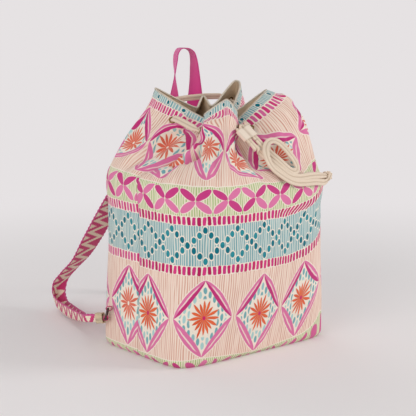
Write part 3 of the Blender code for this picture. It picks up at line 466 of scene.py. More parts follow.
    def creases(self, s: Array, t: Array) -> Array:
        """Return how far small creases lie inside the plain face.

        Sines of s whose phase drifts with t are sharpened into narrow furrows. They are deepest
        under the gathers, faint on the body, and absent round the eyelets and at the floor.
        """
        c, a, b = CREASES, s[None, :], t[:, None]
        drift = sum(share * np.sin(p * a + q * b) for share, p, q in c.drift_waves)
        fine, small, broad, pucker = (r.at(a, b, drift) for r in (c.fine, c.small, c.broad, c.pucker))
        slack = 0.5 + 0.5 * math.prod(np.sin(p * a + q * b + start) for p, q, start in c.slack_waves)
        bands = fade(b, *c.gather) * (1 - fade(b, *c.broad_end))
        rows = sum(bell(b - row, c.pucker_width) for row in c.pucker_rows)
        seam = np.abs(from_front(a)) - SEAM_S
        ridge = np.sin(2 * math.pi * b / c.seam_pucker_pitch + 2.0 * np.sin(70 * b))
        ridge = 1 - c.seam_pucker_share + c.seam_pucker_share * ridge
        depth = (fade(b, *c.gather) * (c.fine_depth * fine + c.small_depth * small)
                 + bands * (c.broad_depth * broad + c.broad_fine_depth * fine)
                 + c.slack_depth * slack * fade(b, 0.0, c.slack_full)
                 + c.pucker_depth * rows * pucker
                 + c.seam_depth * bell(seam, c.seam_width)
                 + c.seam_pucker_depth * ridge * bell(seam, c.seam_pucker_width)
                 + self.furrows(s, t))
        for share, _ in self.near_eyelet(s, t):
            depth = depth * (1 - share)
        return depth * (1 - c.rim_calm * fade(b, *c.rim_calm_at))

    def face(self, s: Array, t: Array, depth: float, creased: bool = True) -> Array:
        """Return points at a depth inward from the outer face, along the cloth's own normals.

        Args:
            s: Places round the bag.
            t: Heights along the cloth.
            depth: Distance inward; a negative one lies outside.
            creased: Whether the small creases count.

        Returns:
            A grid of points, one row for each height.
        """
        along_s = self.outer(s + NORMAL_SAMPLE, t) - self.outer(s - NORMAL_SAMPLE, t)
        along_t = self.outer(s, t + NORMAL_SAMPLE) - self.outer(s, np.maximum(t - NORMAL_SAMPLE, 0))
        normal = unit(np.cross(along_t, along_s))
        inward = depth + (self.creases(s, t) if creased else 0.0)
        return self.outer(s, t) - np.asarray(inward)[..., None] * normal

    def point(self, s: float, t: float, lift: float) -> Array:
        """Return one point at a height above the outer face."""
        return self.face(np.array([s]), np.array([t]), -lift, False)[0, 0]


CLOTH = ClothShape()


# Meshes

def make_object(name: str, points: Array, faces: Sequence[Sequence[int]],
                uv: Optional[Array] = None, thread: Optional[Array] = None) -> Piece:
    """Make a mesh object from points and faces.

    Args:
        name: The piece's name.
        points: One row for each point.
        faces: Point numbers, anticlockwise seen from outside.
        uv: One pair for each point, kept in the map named cloth.
        thread: One pair for each point, kept in the map named thread.

    Returns:
        The new object, at the origin.
    """
    mesh = bpy.data.meshes.new(name)
    mesh.from_pydata(np.asarray(points, float).reshape(-1, 3), [], [tuple(f) for f in faces])
    loops = np.zeros(len(mesh.loops), np.int32)
    mesh.loops.foreach_get("vertex_index", loops)
    for layer, pairs in (("cloth", uv), ("thread", thread)):
        if pairs is not None:
            values = pairs.reshape(-1, 2)[loops].astype(np.float32).ravel()
            mesh.uv_layers.new(name=layer).data.foreach_set("uv", values)
    mesh.polygons.foreach_set("use_smooth", np.full(len(mesh.polygons), True))
    mesh.update()
    piece = bpy.data.objects.new(name, mesh)
    bpy.context.scene.collection.objects.link(piece)
    return piece


def grid_quads(rows: int, columns: int, ring: bool = False) -> Array:
    """Return the quads of a grid of points, whose last column joins the first one in a ring."""
    i, j = np.meshgrid(np.arange(rows - 1), np.arange(columns if ring else columns - 1), indexing="ij")
    k = (j + 1) % columns
    low, high = i * columns, (i + 1) * columns
    return np.stack([low + j, low + k, high + k, high + j], -1).reshape(-1, 4)


def map_of(points: Array, across: Array, along: Array) -> Array:
    """Return a grid's map: the distance across, for each column, and along, for each row."""
    shape = points.shape[:2]
    return np.stack([np.broadcast_to(across, shape), np.broadcast_to(along[:, None], shape)], -1)


def hoop(name: str, points: Array, uv: Optional[Array] = None) -> Piece:
    """Make a mesh from a grid of points that is closed both ways."""
    rows, columns = points.shape[:2]
    faces = grid_quads(rows + 1, columns, ring=True) % (rows * columns)
    return make_object(name, points, faces.tolist(), uv)


def capped(name: str, rings: Array, uv: Optional[Array] = None) -> Piece:
    """Make a mesh from a row of rings, closed by a flat face at both ends."""
    rows, columns = rings.shape[:2]
    faces = grid_quads(rows, columns, ring=True).tolist()
    faces += [list(range(columns))[::-1], list(range((rows - 1) * columns, rows * columns))]
    return make_object(name, rings, faces, uv)


def sleeve(name: str, centre: Array, axes: Sequence[Array], half_l: float,
           section: tuple[Array, Array], walls: Sequence[Pair], rows: int, across: Array) -> Piece:
    """Make a short tube, closed over its wall at both ends.

    Args:
        name: The piece's name.
        centre: The tube's middle.
        axes: Its directions: across, up and along.
        half_l: Half its length.
        section: x and y of the section at half size one.
        walls: Half width and half height, outside and then inside.
        rows: Rings of each face.
        across: The map's first number for each point of the section.

    Returns:
        The new object.
    """
    v = np.linspace(-1, 1, rows)
    layers = []
    for (half_w, half_h), order in zip(walls, (1, -1)):
        ring = section[0][:, None] * half_w * axes[0] + section[1][:, None] * half_h * axes[1]
        layers.append(centre + ring[None] + v[::order, None, None] * axes[2] * half_l)
    points = np.concatenate(layers)
    return hoop(name, points, map_of(points, across, np.concatenate([v, v[::-1]]) * half_l))


def sheet_mesh(name: str, front: Array, back: Array, uv: Array,
               thread: Optional[Array] = None) -> Piece:
    """Make a closed sheet between two grids, the first with its normal along rows x columns."""
    rows, columns = front.shape[:2]
    step = rows * columns
    index = np.arange(step).reshape(rows, columns)
    around = np.concatenate([index[0], index[1:, -1], index[-1, -2::-1], index[-2:0:-1, 0]])
    after = np.roll(around, -1)
    edge = np.stack([around, after, after + step, around + step], -1)
    quads = grid_quads(rows, columns)
    faces = np.concatenate([quads[:, ::-1], quads + step, edge])
    maps = [None if pairs is None else np.concatenate([pairs, pairs]) for pairs in (uv, thread)]
    return make_object(name, np.concatenate([front, back]), faces.tolist(), *maps)


def sweep(name: str, line: Array, wide: Array, half_w: Array, half_h: Array,
          sides: int = 28, rolled: float = 0.62) -> Piece:
    """Carry a flat cord's section along a line.

    The section is a rounded oblong, x = w cos a and y = h sin a, each raised to a low power, and
    its middle is thinner by the rolled share, as in tape folded inward at both edges.

    Args:
        name: The piece's name.
        line: Points of the centre line.
        wide: The direction of the width at each point.
        half_w: Half width at each point.
        half_h: Half thickness at each point.
        sides: Points of the section.
        rolled: How much thinner the middle is.

    Returns:
        The new object, with across and along in metres in its map.
    """
    tangent = unit(np.gradient(line, axis=0))
    wide = square_to(wide, tangent)
    up = np.cross(tangent, wide)
    x, y = oblong(sides, *TAPE_SHAPE)
    y = y * (1 - rolled * bell(x, TAPE_GROOVE))
    points = (line[:, None] + wide[:, None] * (half_w[:, None] * x)[..., None]
              + up[:, None] * (half_h[:, None] * y)[..., None])
    return capped(name, points, map_of(points, half_w[:, None] * x, distances(line)))


def revolve(name: str, profile: Array, centre: Array, axis: Array,
            steps: int = 40) -> Piece:
    """Turn a closed profile of (radius, height) once about an axis through a centre."""
    axis = unit(axis)
    side = unit(np.cross(axis, ODD_WAY))
    other = np.cross(axis, side)
    a = np.linspace(0, 2 * math.pi, steps, endpoint=False)
    ring = np.cos(a)[:, None] * side + np.sin(a)[:, None] * other
    points = centre + ring[:, None] * profile[None, :, :1] + axis * profile[None, :, 1:]
    return hoop(name, points)


# Shader tools

PRINCIPLED = "Principled BSDF"
METAL_SPECULAR = 0.5
CLOTH_SPECULAR = 0.2
SOFT_EDGE = 0.0004
BAND_EDGE = 0.0003


class Value:
    """A shader socket that works in Python expressions."""

    def __init__(self, graph: "Graph", socket: bpy.types.NodeSocket) -> None:
        """Keep the socket and the graph that it belongs to."""
        self.graph = graph
        self.socket = socket

    def __add__(self, other: Operand) -> "Value":
        """Return the sum."""
        return self.graph.math("ADD", self, other)

    __radd__ = __add__

    def __sub__(self, other: Operand) -> "Value":
        """Return the difference."""
        return self.graph.math("SUBTRACT", self, other)

    def __rsub__(self, other: Operand) -> "Value":
        """Return the difference from a number."""
        return self.graph.math("SUBTRACT", other, self)

    def __mul__(self, other: Operand) -> "Value":
        """Return the product."""
        return self.graph.math("MULTIPLY", self, other)

    __rmul__ = __mul__

    def __truediv__(self, other: Operand) -> "Value":
        """Return the quotient."""
        return self.graph.math("DIVIDE", self, other)

    def __pow__(self, other: Operand) -> "Value":
        """Return the power."""
        return self.graph.math("POWER", self, other)

    def __abs__(self) -> "Value":
        """Return the absolute value."""
        return self.graph.math("ABSOLUTE", self)


class Graph:
    """The nodes of one material or world."""

    def __init__(self, owner: Union[bpy.types.Material, bpy.types.World]) -> None:
        """Turn the owner's nodes on and keep them."""
        self.owner = owner
        owner.use_nodes = True
        self.nodes = owner.node_tree.nodes
        self.links = owner.node_tree.links

    @classmethod
    def material(cls, name: str) -> "Graph":
        """Start a material with an empty Principled shader."""
        return cls(bpy.data.materials.new(name))

    def blend(self, factor: Value, first: str, second: Value, end: str) -> None:
        """Mix the shader of a node that is there with a second one, for the end node."""
        shader = Value(self, self.nodes[first].outputs[0])
        mixed = self.node("ShaderNodeMixShader", {}, {0: factor, 1: shader, 2: second})
        self.plug(self.nodes[end].inputs[0], mixed)

    def plug(self, socket: bpy.types.NodeSocket, value: object) -> None:
        """Link a value to a socket, or set the socket to a number or colour."""
        if isinstance(value, Value):
            self.links.new(value.socket, socket)
        elif isinstance(value, tuple) and len(value) == 3 and socket.type == "RGBA":
            socket.default_value = (*value, 1.0)
        else:
            socket.default_value = value

    def node(self, kind: str, settings: dict, inputs: dict, output: object = 0) -> Value:
        """Add a node.

        Args:
            kind: The node's type.
            settings: Its options, set first.
            inputs: Its sockets by name or number, with a number, a colour or a value.
            output: Which output is returned.

        Returns:
            That output.
        """
        made = self.nodes.new(kind)
        for key, value in settings.items():
            setattr(made, key, value)
        for key, value in inputs.items():
            self.plug(made.inputs[key], value)
        return Value(self, made.outputs[output])

    def math(self, operation: str, *values: Operand) -> Value:
        """Return a Math node's result."""
        return self.node("ShaderNodeMath", {"operation": operation}, dict(enumerate(values)))

    def ramp(self, x: Operand, low: float, high: float) -> Value:
        """Return 0 at low and 1 at high, or the reverse where low is the greater, smoothly."""
        if low < high:
            return self.node("ShaderNodeMapRange", {"interpolation_type": "SMOOTHSTEP"},
                             {"Value": x, "From Min": low, "From Max": high})
        return 1.0 - self.ramp(x, high, low)

    def under(self, x: Operand, edge: float, soft: float = SOFT_EDGE) -> Value:
        """Return 1 where x is below the edge, with a soft border."""
        return self.ramp(x, edge + soft, edge - soft)

    def between(self, x: Operand, low: float, high: float, soft: float = BAND_EDGE) -> Value:
        """Return 1 between two edges."""
        return self.ramp(x, low - soft, low + soft) * self.under(x, high, soft)

    def repeat(self, x: Value, period: float, start: float = 0.0) -> tuple[Value, Value]:
        """Return the distance from the nearest repeat and that repeat's number."""
        number = self.math("ROUND", (x - start) / period)
        return (x - start) - number * period, number

    def chance(self, number: Value, other: Operand = 0.0) -> Value:
        """Return a fixed random number from 0 to 1 for a pair of whole numbers."""
        place = self.node("ShaderNodeCombineXYZ", {}, {0: number, 1: other})
        return self.node("ShaderNodeTexWhiteNoise", {"noise_dimensions": "2D"}, {"Vector": place})

    def noise(self, x: Operand, y: Operand, scale: float = 1.0, detail: float = 2.0) -> Value:
        """Return smooth noise from 0 to 1 at two coordinates."""
        place = self.node("ShaderNodeCombineXYZ", {}, {0: x, 1: y})
        return self.node("ShaderNodeTexNoise", {"noise_dimensions": "2D"},
                         {"Vector": place, "Scale": scale, "Detail": detail})

    def mix(self, factor: Operand, first: object, second: object) -> Value:
        """Return a colour mixed from two."""
        return self.node("ShaderNodeMix", {"data_type": "RGBA"}, {0: factor, 6: first, 7: second}, 2)

    def haloed(self, far: Value, edge: float, halo: float, colour: Value, tone: object) -> Value:
        """Paint a tone where a distance is under an edge, with a cream line round it."""
        return self.mix(self.under(far, edge), self.mix(self.under(far, halo), colour, CREAM), tone)

    def shade(self, factor: Operand, tone: Colour, depth: float) -> Value:
        """Return a colour mixed with a darker share of itself."""
        return self.mix(factor, tone, tuple(c * depth for c in tone))

    def length(self, x: Value, y: Value) -> Value:
        """Return the length of a pair of distances."""
        return self.math("SQRT", x ** 2.0 + y ** 2.0)

    def wave(self, x: Value, period: float) -> Value:
        """Return a sine of a distance, raised so that it runs from 0 to 1."""
        return 0.5 + 0.5 * self.math("SINE", x * (2 * math.pi / period))

    def split(self, vector: Value) -> list[Value]:
        """Return the three parts of a vector."""
        made = self.node("ShaderNodeSeparateXYZ", {}, {0: vector}).socket.node
        return [Value(self, output) for output in made.outputs]

    def map(self, name: str = "cloth") -> list[Value]:
        """Return the two coordinates of one of the piece's own maps, in metres."""
        return self.split(self.node("ShaderNodeUVMap", {"uv_map": name}, {}))[:2]

    def place(self) -> list[Value]:
        """Return the three object coordinates, in metres."""
        return self.split(self.node("ShaderNodeTexCoord", {}, {}, "Object"))

    def finish(self, colour: object, roughness: object, height: Optional[Value] = None,
               distance: float = 0.001, metallic: float = 0.0, sheen: float = 0.0) -> bpy.types.Material:
        """Connect the shader.

        Args:
            colour: Base colour.
            roughness: A number or a value.
            height: Relief from 0 to 1.
            distance: The relief's depth in metres.
            metallic: 0 for cloth and 1 for metal.
            sheen: Strength of the soft sheen of fibres.

        Returns:
            The material.
        """
        shine = METAL_SPECULAR if metallic else CLOTH_SPECULAR
        values = {"Base Color": colour, "Roughness": roughness, "Metallic": metallic,
                  "Sheen Weight": sheen, "Specular IOR Level": shine}
        if height is not None:
            values["Normal"] = self.node("ShaderNodeBump", {},
                                         {"Height": height, "Distance": distance, "Strength": 1.0})
        for socket, value in values.items():
            self.plug(self.nodes[PRINCIPLED].inputs[socket], value)
        return self.owner


def weave(g: Graph, x: Value, y: Value, pitch: float) -> Value:
    """Return the relief of a plain weave: threads over and under, each a sine of its own pitch."""
    over = g.math("SINE", x * (2 * math.pi / pitch))
    under = g.math("SINE", y * (2 * math.pi / pitch))
    return 0.5 + 0.5 * (over * under)


# Finishes

class Side(Enum):
    """Which panel a print is on."""

    FRONT = "front"
    BACK = "back"


@dataclass(frozen=True)
class Diamond:
    """Sizes of one diamond with its brush marks and its flower, on the flat cloth."""

    period: float = 0.0985
    half_w: float = 0.0455
    half_h: float = 0.0578
    leaf_half_w: float = 0.0062
    leaf_taper: float = 0.70
    halo_w: float = 0.0013
    brush_x: float = 0.0070
    brush_y: float = 0.0136
    brush_half_w: float = 0.0025
    brush_half_h: float = 0.0056
    brush_inset: float = 0.0056
    rays: int = 16
    flower_half_w: float = 0.0235
    flower_half_h: float = 0.0310
    ray_shortest: float = 0.72
    ray_half_w: Pair = (0.0004, 0.0013)
    dot_r: float = 0.0023


@dataclass(frozen=True)
class PrintedCanvas:
    """Canvas with bands of stripes, leaves, dots, dashes and starry flowers.

    Each motif is the area where a distance worked out from s and t stays below a width.
    """

    side: Side
    diamond: Diamond = Diamond()
    front_start: float = 0.0145
    back_start: float = 0.2585
    lower_centre: float = 0.0692
    upper_centre: float = 0.3360
    upper_grow: float = 1.3
    stripe_pitch: float = 0.0036
    stripe_wander: float = 7.0
    stripe_breaks: Pair = (0.28, 0.60)
    stripe_share: float = 0.80
    stripe_glow: float = 0.8
    wash_share: float = 0.4
    teal_band: Pair = (0.1472, 0.2070)
    green_band: Pair = (0.2200, 0.2675)
    green_edge: Pair = (0.2670, 0.2690)
    cross_period: float = 0.0465
    cross_start: float = 0.0336
    cross_centre: float = 0.2440
    cross_turn: float = 41.0
    cross_leaf_centre: float = 0.0150
    cross_leaf_half_l: float = 0.0136
    cross_leaf_half_w: float = 0.0057
    lattice_period: float = 0.0489
    lattice_start: float = 0.0408
    lattice_centre: float = 0.1772
    lattice_rise: float = 0.00757
    lattice_r: float = 0.0034
    lattice_halo_r: float = 0.0046
    lattice_stretch: float = 1.42
    dash_period: float = 0.0072
    dash_half_w: float = 0.0025
    dash_gap: float = 0.0002
    dash_rows: tuple[Pair, ...] = ((0.1345, 0.1472), (0.2070, 0.2200), (0.3950, 0.4085))
    rim_start: float = 0.4096
    rim_dot_t: float = 0.4145
    rim_dot_period: float = 0.0330
    rim_dot_start: float = 0.010
    rim_dot_r: float = 0.0030
    rim_halo_r: float = 0.0041
    foot_period: float = 0.0215
    foot_half_w: Pair = (0.0042, 0.0030)
    foot_half_h: float = 0.0075
    foot_end: float = 0.0095
    foot_edge: Pair = (0.0092, 0.0104)
    wander: float = 0.0016
    back_drop: float = 0.005
    thread_pitch: float = 0.0007
    weave_pitch: float = 0.0011

    def stripes(self, g: Graph, s: Value, t: Value, ground: Colour, line: Colour,
                seed: float) -> Value:
        """Return brushed upright lines: a sine of s whose phase wanders with noise."""
        drift = g.noise(s * 60 + seed, t * 14)
        ripple = g.math("SINE", s * (2 * math.pi / self.stripe_pitch) + drift * self.stripe_wander)
        strength = g.noise(s * 400 + seed, t * 18, detail=1.0)
        mask = g.ramp(ripple, 0.0, 0.8) * g.ramp(strength, *self.stripe_breaks)
        wash = g.mix(g.noise(s * 25, t * 25) * self.wash_share, ground, CREAM)
        wash = g.mix(g.ramp(ripple, -0.35, -0.9) * self.stripe_glow, wash, CREAM)
        return g.mix(mask * self.stripe_share, wash, line)

    def diamonds(self, g: Graph, s: Value, t: Value, colour: Value, centre: float, sewn: bool,
                 grow: float) -> tuple[Value, Value]:
        """Paint one row of diamonds.

        A place in the diamond is q, from its side tip to its upper tip, and n, its distance from
        the outline. Each side is a leaf: n stays below a width that falls to zero at both tips.

        Args:
            g: The material's graph.
            s: Place round the bag.
            t: Height along the cloth.
            colour: What is painted so far.
            centre: Height of the diamonds' middle.
            sewn: Whether the flowers are embroidered.
            grow: How much wider leaves, marks and flowers are, where the gathers draw the print in.

        Returns:
            The new colour, and the relief of the embroidery.
        """
        d = self.diamond
        start = self.front_start if self.side is Side.FRONT else self.back_start
        x, number = g.repeat(s, d.period, start)
        y = t - centre
        a, b = abs(x) / d.half_w, abs(y) / d.half_h
        q = (b - a + 1.0) * 0.5
        n = (a + b - 1.0) * (d.half_w * d.half_h / math.hypot(d.half_w, d.half_h))
        within = g.between(q, 0.0, 1.0, 0.02)
        taper = g.math("POWER", g.math("MAXIMUM", q * (1.0 - q) * 4.0, 0.0), d.leaf_taper)
        side = abs(n) - taper * (d.leaf_half_w * grow)
        colour = g.mix(g.under(side, d.halo_w) * within, colour, CREAM)
        colour = g.mix(g.under(n, 0.0), colour, CREAM)
        wide = d.flower_half_w * grow
        colour = self.brush_marks(g, x, y, n, number, colour, wide, grow)

        # Leaf along each side: dark toward the flower in the upper half, with a narrow pale slit
        tone = g.chance(number, g.math("SIGN", x) + 3.0)
        deep = g.mix(g.ramp(tone, 0.2, 0.8) * 0.5, LEAF_DARK, PINK)
        light = g.mix(g.noise(q * 3.0, n * 900.0) * 0.3, PINK_LIGHT, PINK)
        leaf = g.mix(g.under(n, -0.0006, 0.0003) * g.ramp(y, -0.001, 0.001), light, deep)
        colour = g.mix(g.under(side, 0.0) * within, colour, leaf)
        slit = g.under(abs(n - 0.0008) - taper * 0.0010, 0.0, 0.0003)
        colour = g.mix(slit * g.between(q, 0.20, 0.80, 0.06) * 0.80, colour, CREAM)
        return self.flower(g, x, y, number, colour, wide, sewn, grow)

    def brush_marks(self, g: Graph, x: Value, y: Value, n: Value, number: Value, colour: Value,
                    wide: float, grow: float) -> Value:
        """Paint short teal marks round the flower, every second column shifted by half a step."""
        d = self.diamond
        cell_x, column = g.repeat(x, d.brush_x * grow)
        cell_y, row = g.repeat(y + g.math("PINGPONG", column, 1.0) * (d.brush_y / 2), d.brush_y)
        mark = g.length(cell_x / (d.brush_half_w * grow), cell_y / d.brush_half_h)
        clear = g.ramp(g.length(x / wide, y / d.flower_half_h), 0.84, 0.94)
        clear = clear * g.under(n, -d.brush_inset * grow, 0.0006)
        shade = g.ramp(g.chance(column + number * 31.0, row), 0.38, 0.48)
        tone = g.mix(shade, BRUSH_LIGHT, BRUSH_DARK)
        return g.mix(g.under(mark, 1.0, 0.15) * clear * 0.90, colour, tone)

    def flower(self, g: Graph, x: Value, y: Value, number: Value, colour: Value, wide: float,
               sewn: bool, grow: float) -> tuple[Value, Value]:
        """Paint uneven leaf-shaped rays round a dot, and return the stitches' relief too."""
        d = self.diamond
        y_round = y / (d.flower_half_h / wide)
        step = 2 * math.pi / d.rays
        angle = g.math("ARCTAN2", y_round, x)
        nearest = g.math("ROUND", angle / step)
        ray = g.math("PINGPONG", nearest, d.rays / 2) + g.math("SIGN", y) * 20.0
        radius = g.length(x, y_round)
        across = abs((angle - nearest * step) * radius)
        share = radius / ((d.ray_shortest + (1 - d.ray_shortest) * g.chance(ray, number)) * wide)
        swell = g.math("SINE", g.math("MINIMUM", share, 1.0) ** 1.5 * math.pi)
        swell = (d.ray_half_w[0] + swell * d.ray_half_w[1]) * grow
        petal = g.under(across - swell, 0.0, 0.0003) * g.under(share, 1.0, 0.05)
        petal = petal * g.ramp(radius, 0.0010, 0.0020)
        tones = (ORANGE, ORANGE_DEEP) if sewn else (CORAL, CORAL_DEEP)
        colour = g.mix(petal, colour, g.mix(g.chance(ray, number + 7.0) * 0.5, *tones))
        dot = g.under(radius, d.dot_r)
        colour = g.mix(dot, colour, MAGENTA if sewn else CREAM)
        return colour, g.math("MAXIMUM", petal, dot) * float(sewn)

    def dashes(self, g: Graph, s: Value, t: Value, colour: Value, row: int,
               sewn: bool) -> tuple[Value, Value]:
        """Paint one row of upright dashes and return the colour and the sewn ones' relief."""
        low, high = self.dash_rows[row]
        x, number = g.repeat(s, self.dash_period)
        y = t - (low + high) / 2 - (g.chance(number) - 0.5) * 0.0012
        lean = (g.chance(number, 9.0) - 0.5) * 0.16
        across = (abs(x + y * lean) / self.dash_half_w) ** 4.0
        upward = (abs(y) / ((high - low) / 2 - self.dash_gap)) ** 6.0
        mark = g.under(across + upward, 1.0, 0.25)
        alternate = g.math("PINGPONG", number, 1.0)
        if sewn:
            stitched = g.mix(g.chance(number, 5.0) * 0.6, MAGENTA, MAGENTA_DEEP)
            paint = g.mix(alternate, g.mix(g.chance(number, 3.0), PINK, DASH_PINK), stitched)
        else:
            paint = g.mix(alternate * 0.8, g.mix(0.4, PINK_LIGHT, PINK), DASH_DEEP)
        colour = g.mix(g.between(t, low - 0.0006, high + 0.0006, 0.0004), colour, CREAM)
        return g.mix(mark, colour, paint), mark * alternate * float(sewn)

    def lattice(self, g: Graph, s: Value, t: Value, colour: Value) -> Value:
        """Paint dots along crossing lines: the k-th dot from a crossing is k steps up or down."""
        step = self.lattice_period / 6
        x, number = g.repeat(s, self.lattice_period, self.lattice_start)
        k = g.math("ROUND", x / step)
        y = t - self.lattice_centre
        seed = number * 6.0 + k
        dx = x - k * step + (g.chance(seed, 4.0) - 0.5) * 0.0010
        far = g.length(dx, (abs(y) - abs(k) * self.lattice_rise) / self.lattice_stretch)
        dark = g.ramp(g.chance(seed, g.math("SIGN", y) + 2.0), 0.35, 0.65)
        colour = g.mix(g.under(far, self.lattice_halo_r), colour, CREAM)
        return g.mix(g.under(far, self.lattice_r, 0.0003), colour, g.mix(dark, TEAL_DARK, TEAL_LIGHT))

    def crosses(self, g: Graph, s: Value, t: Value, colour: Value) -> Value:
        """Paint four leaves on the diagonals round each crossing of the green band."""
        x, number = g.repeat(s, self.cross_period, self.cross_start)
        y = t - self.cross_centre
        turn = math.radians(self.cross_turn)
        along = abs(x) * math.cos(turn) + abs(y) * math.sin(turn)
        across = abs(abs(y) * math.cos(turn) - abs(x) * math.sin(turn))
        q = (along - self.cross_leaf_centre) / self.cross_leaf_half_l
        side = across - g.math("SQRT", g.math("MAXIMUM", 1.0 - q * q, 0.0)) * self.cross_leaf_half_w
        quarter = g.math("SIGN", x) * g.math("SIGN", y) * g.math("SIGN", g.chance(number, 1.0) - 0.5)
        darker = g.mix(g.ramp(g.chance(number, 2.0), 0.55, 0.56), quarter, g.math("SIGN", y))
        brush = g.noise(along * 60.0, across * 700.0) * 0.5
        petal = g.mix(g.ramp(darker, -0.5, 0.5) * 0.85 + brush * 0.3, PINK_LIGHT, PINK)
        ends = g.under(abs(q), 1.0, 0.02)
        colour = g.mix(g.under(side, 0.0012, 0.0005) * ends, colour, CREAM)
        return g.mix(g.under(side, 0.0) * ends, colour, petal)

    def rim(self, g: Graph, s: Value, t: Value, colour: Value, ground: Value) -> Value:
        """Paint the band at the rim with its single dots."""
        x, _ = g.repeat(s, self.rim_dot_period, self.rim_dot_start)
        far = g.length(x, t - self.rim_dot_t)
        band = g.haloed(far, self.rim_dot_r, self.rim_halo_r, ground, TEAL_DARK)
        return g.mix(g.ramp(t, self.rim_start - 0.0003, self.rim_start + 0.0003), colour, band)

    def foot(self, g: Graph, s: Value, t: Value, colour: Value, ground: Value) -> Value:
        """Paint the strip of leaning petals at the floor."""
        x, number = g.repeat(s, self.foot_period)
        x = x + (t - 0.001) * ((g.chance(number, 2.0) - 0.5) * 2.4)
        half_w = self.foot_half_w[0] + self.foot_half_w[1] * g.chance(number, 4.0)
        petal = g.length(x / half_w, (t + 0.0005) / self.foot_half_h)
        strip = g.mix(g.under(petal, 1.0, 0.08), ground, g.mix(g.chance(number), PINK, PINK_LIGHT))
        colour = g.mix(g.under(t, self.foot_end, 0.0003), colour, strip)
        return g.mix(g.between(t, *self.foot_edge), colour, CREAM)

    def make(self, name: str) -> bpy.types.Material:
        """Return the whole print as a material."""
        g = Graph.material(name)
        u, v = g.map()
        s = u + (g.noise(u * 90, v * 90) - 0.5) * self.wander
        t = v + (g.noise(u * 80 + 9.0, v * 80) - 0.5) * self.wander
        a, b = g.map("thread")
        sewn = self.side is Side.FRONT
        if not sewn:
            t = t - self.back_drop * g.between(v, 0.02, 0.39, 0.02)
        colour = self.stripes(g, a, b, PEACH, PEACH_LINE, 0.0)
        colour, flowers = self.diamonds(g, s, t, colour, self.lower_centre, sewn, 1.0)
        colour, _ = self.diamonds(g, s, t, colour, self.upper_centre, False, self.upper_grow)
        teal = self.lattice(g, s, t, self.stripes(g, a, b, TEAL_GROUND, TEAL_LINE, 5.0))
        colour = g.mix(g.between(t, *self.teal_band), colour, teal)
        green = self.crosses(g, s, t, self.stripes(g, a, b, GREEN_GROUND, GREEN_LINE, 11.0))
        colour = g.mix(g.between(t, *self.green_band), colour, green)
        colour = g.mix(g.between(t, *self.green_edge), colour, CREAM)
        colour, low_row = self.dashes(g, s, t, colour, 0, sewn)
        colour, high_row = self.dashes(g, s, t, colour, 1, sewn)
        colour, _ = self.dashes(g, s, t, colour, 2, False)
        colour = self.rim(g, s, t, colour, self.stripes(g, a, b, TEAL_GROUND, TEAL_LINE, 21.0))
        colour = self.foot(g, s, t, colour, self.stripes(g, a, b, GREEN_GROUND, GREEN_LINE, 31.0))
        stitch = g.math("MAXIMUM", flowers, g.math("MAXIMUM", low_row, high_row))
        relief = stitch * (0.75 + 0.13 * g.wave(b, self.thread_pitch))
        relief = weave(g, a, b, self.weave_pitch) * 0.12 + relief
        return g.finish(colour, 0.88 - stitch * 0.38, relief, 0.0010, sheen=0.15)


@dataclass(frozen=True)
class PlainWeave:
    """Unprinted woven cloth, such as the lining, the cord and the collars."""

    tone: Colour
    pitch: float = 0.0013
    depth: float = 0.0004
    mapped: bool = True

    def make(self, name: str) -> bpy.types.Material:
        """Return the cloth as a material, on the piece's map or on object coordinates."""
        g = Graph.material(name)
        if self.mapped:
            x, y = g.map()
        else:
            x, y, z = g.place()
            x, y = x + z * 0.6, y + z * 0.8
        relief = weave(g, x, y, self.pitch)
        patch = g.noise(x * 45, y * 45, detail=3.0)
        # Random darker patches, and painted shade in the weave's hollows where its relief is low
        colour = g.shade(g.ramp(patch, 0.3, 0.7) * 0.5 + (1.0 - relief) * 0.35, self.tone, 0.80)
        return g.finish(colour, 0.80 + patch * 0.12, relief, self.depth, sheen=0.2)


@dataclass(frozen=True)
class CordCanvas:
    """Canvas folded into a flat cord, with painted shade in the groove between its two rolled edges and
    at the edges.
    """

    tone: Colour
    half_w: float
    pitch: float = 0.0011
    # Darker share of the tone, for the painted shade and the random patches
    shade_and_patch_share: Colour = (0.58, 0.50, 0.42)

    def make(self, name: str) -> bpy.types.Material:
        """Return the canvas, with painted shade where the place across it is near zero or near the edge.
        """
        g = Graph.material(name)
        across, along = g.map()
        relief = weave(g, across, along, self.pitch)
        groove = g.ramp(abs(across), self.half_w * 0.30, 0.0)
        edge = g.ramp(abs(across), self.half_w * 0.70, self.half_w)
        patch = g.noise(across * 60, along * 40, detail=3.0)
        deep = tuple(c * k for c, k in zip(self.tone, self.shade_and_patch_share))
        # Painted shade in the groove, at the rolled edges and in the weave's hollows, plus random darker
        # patches
        dark = groove * 0.50 + edge * 0.22 + (1.0 - relief) * 0.16 + patch * 0.12
        colour = g.mix(dark, self.tone, deep)
        return g.finish(colour, 0.84, relief * 0.35 - groove * 0.6, 0.0005, sheen=0.2)


@dataclass(frozen=True)
class RibbedWebbing:
    """Plain pink webbing with ribs across it."""

    tone: Colour
    width: float
    rib_pitch: float = 0.0014
    yarn_pitch: float = 0.0016

    def make(self, name: str) -> bpy.types.Material:
        """Return the webbing as a material: a sine of the length for the ribs, with painted shade
        between them, and darker at the edge.
        """
        g = Graph.material(name)
        across, along = g.map()
        rib, yarn = g.wave(along, self.rib_pitch), g.wave(across, self.yarn_pitch)
        edge = g.ramp(abs(across), self.width * 0.42, self.width * 0.49)
        # Darker at the edge, painted shade in the hollows between the ribs, and random patches
        dark = edge * 0.5 + (1.0 - rib) * 0.22 + g.noise(across * 60, along * 60) * 0.15
        colour = g.shade(dark, self.tone, 0.68)
        return g.finish(colour, 0.66 + edge * 0.1, rib * 0.7 + yarn * 0.3, 0.0004, sheen=0.3)


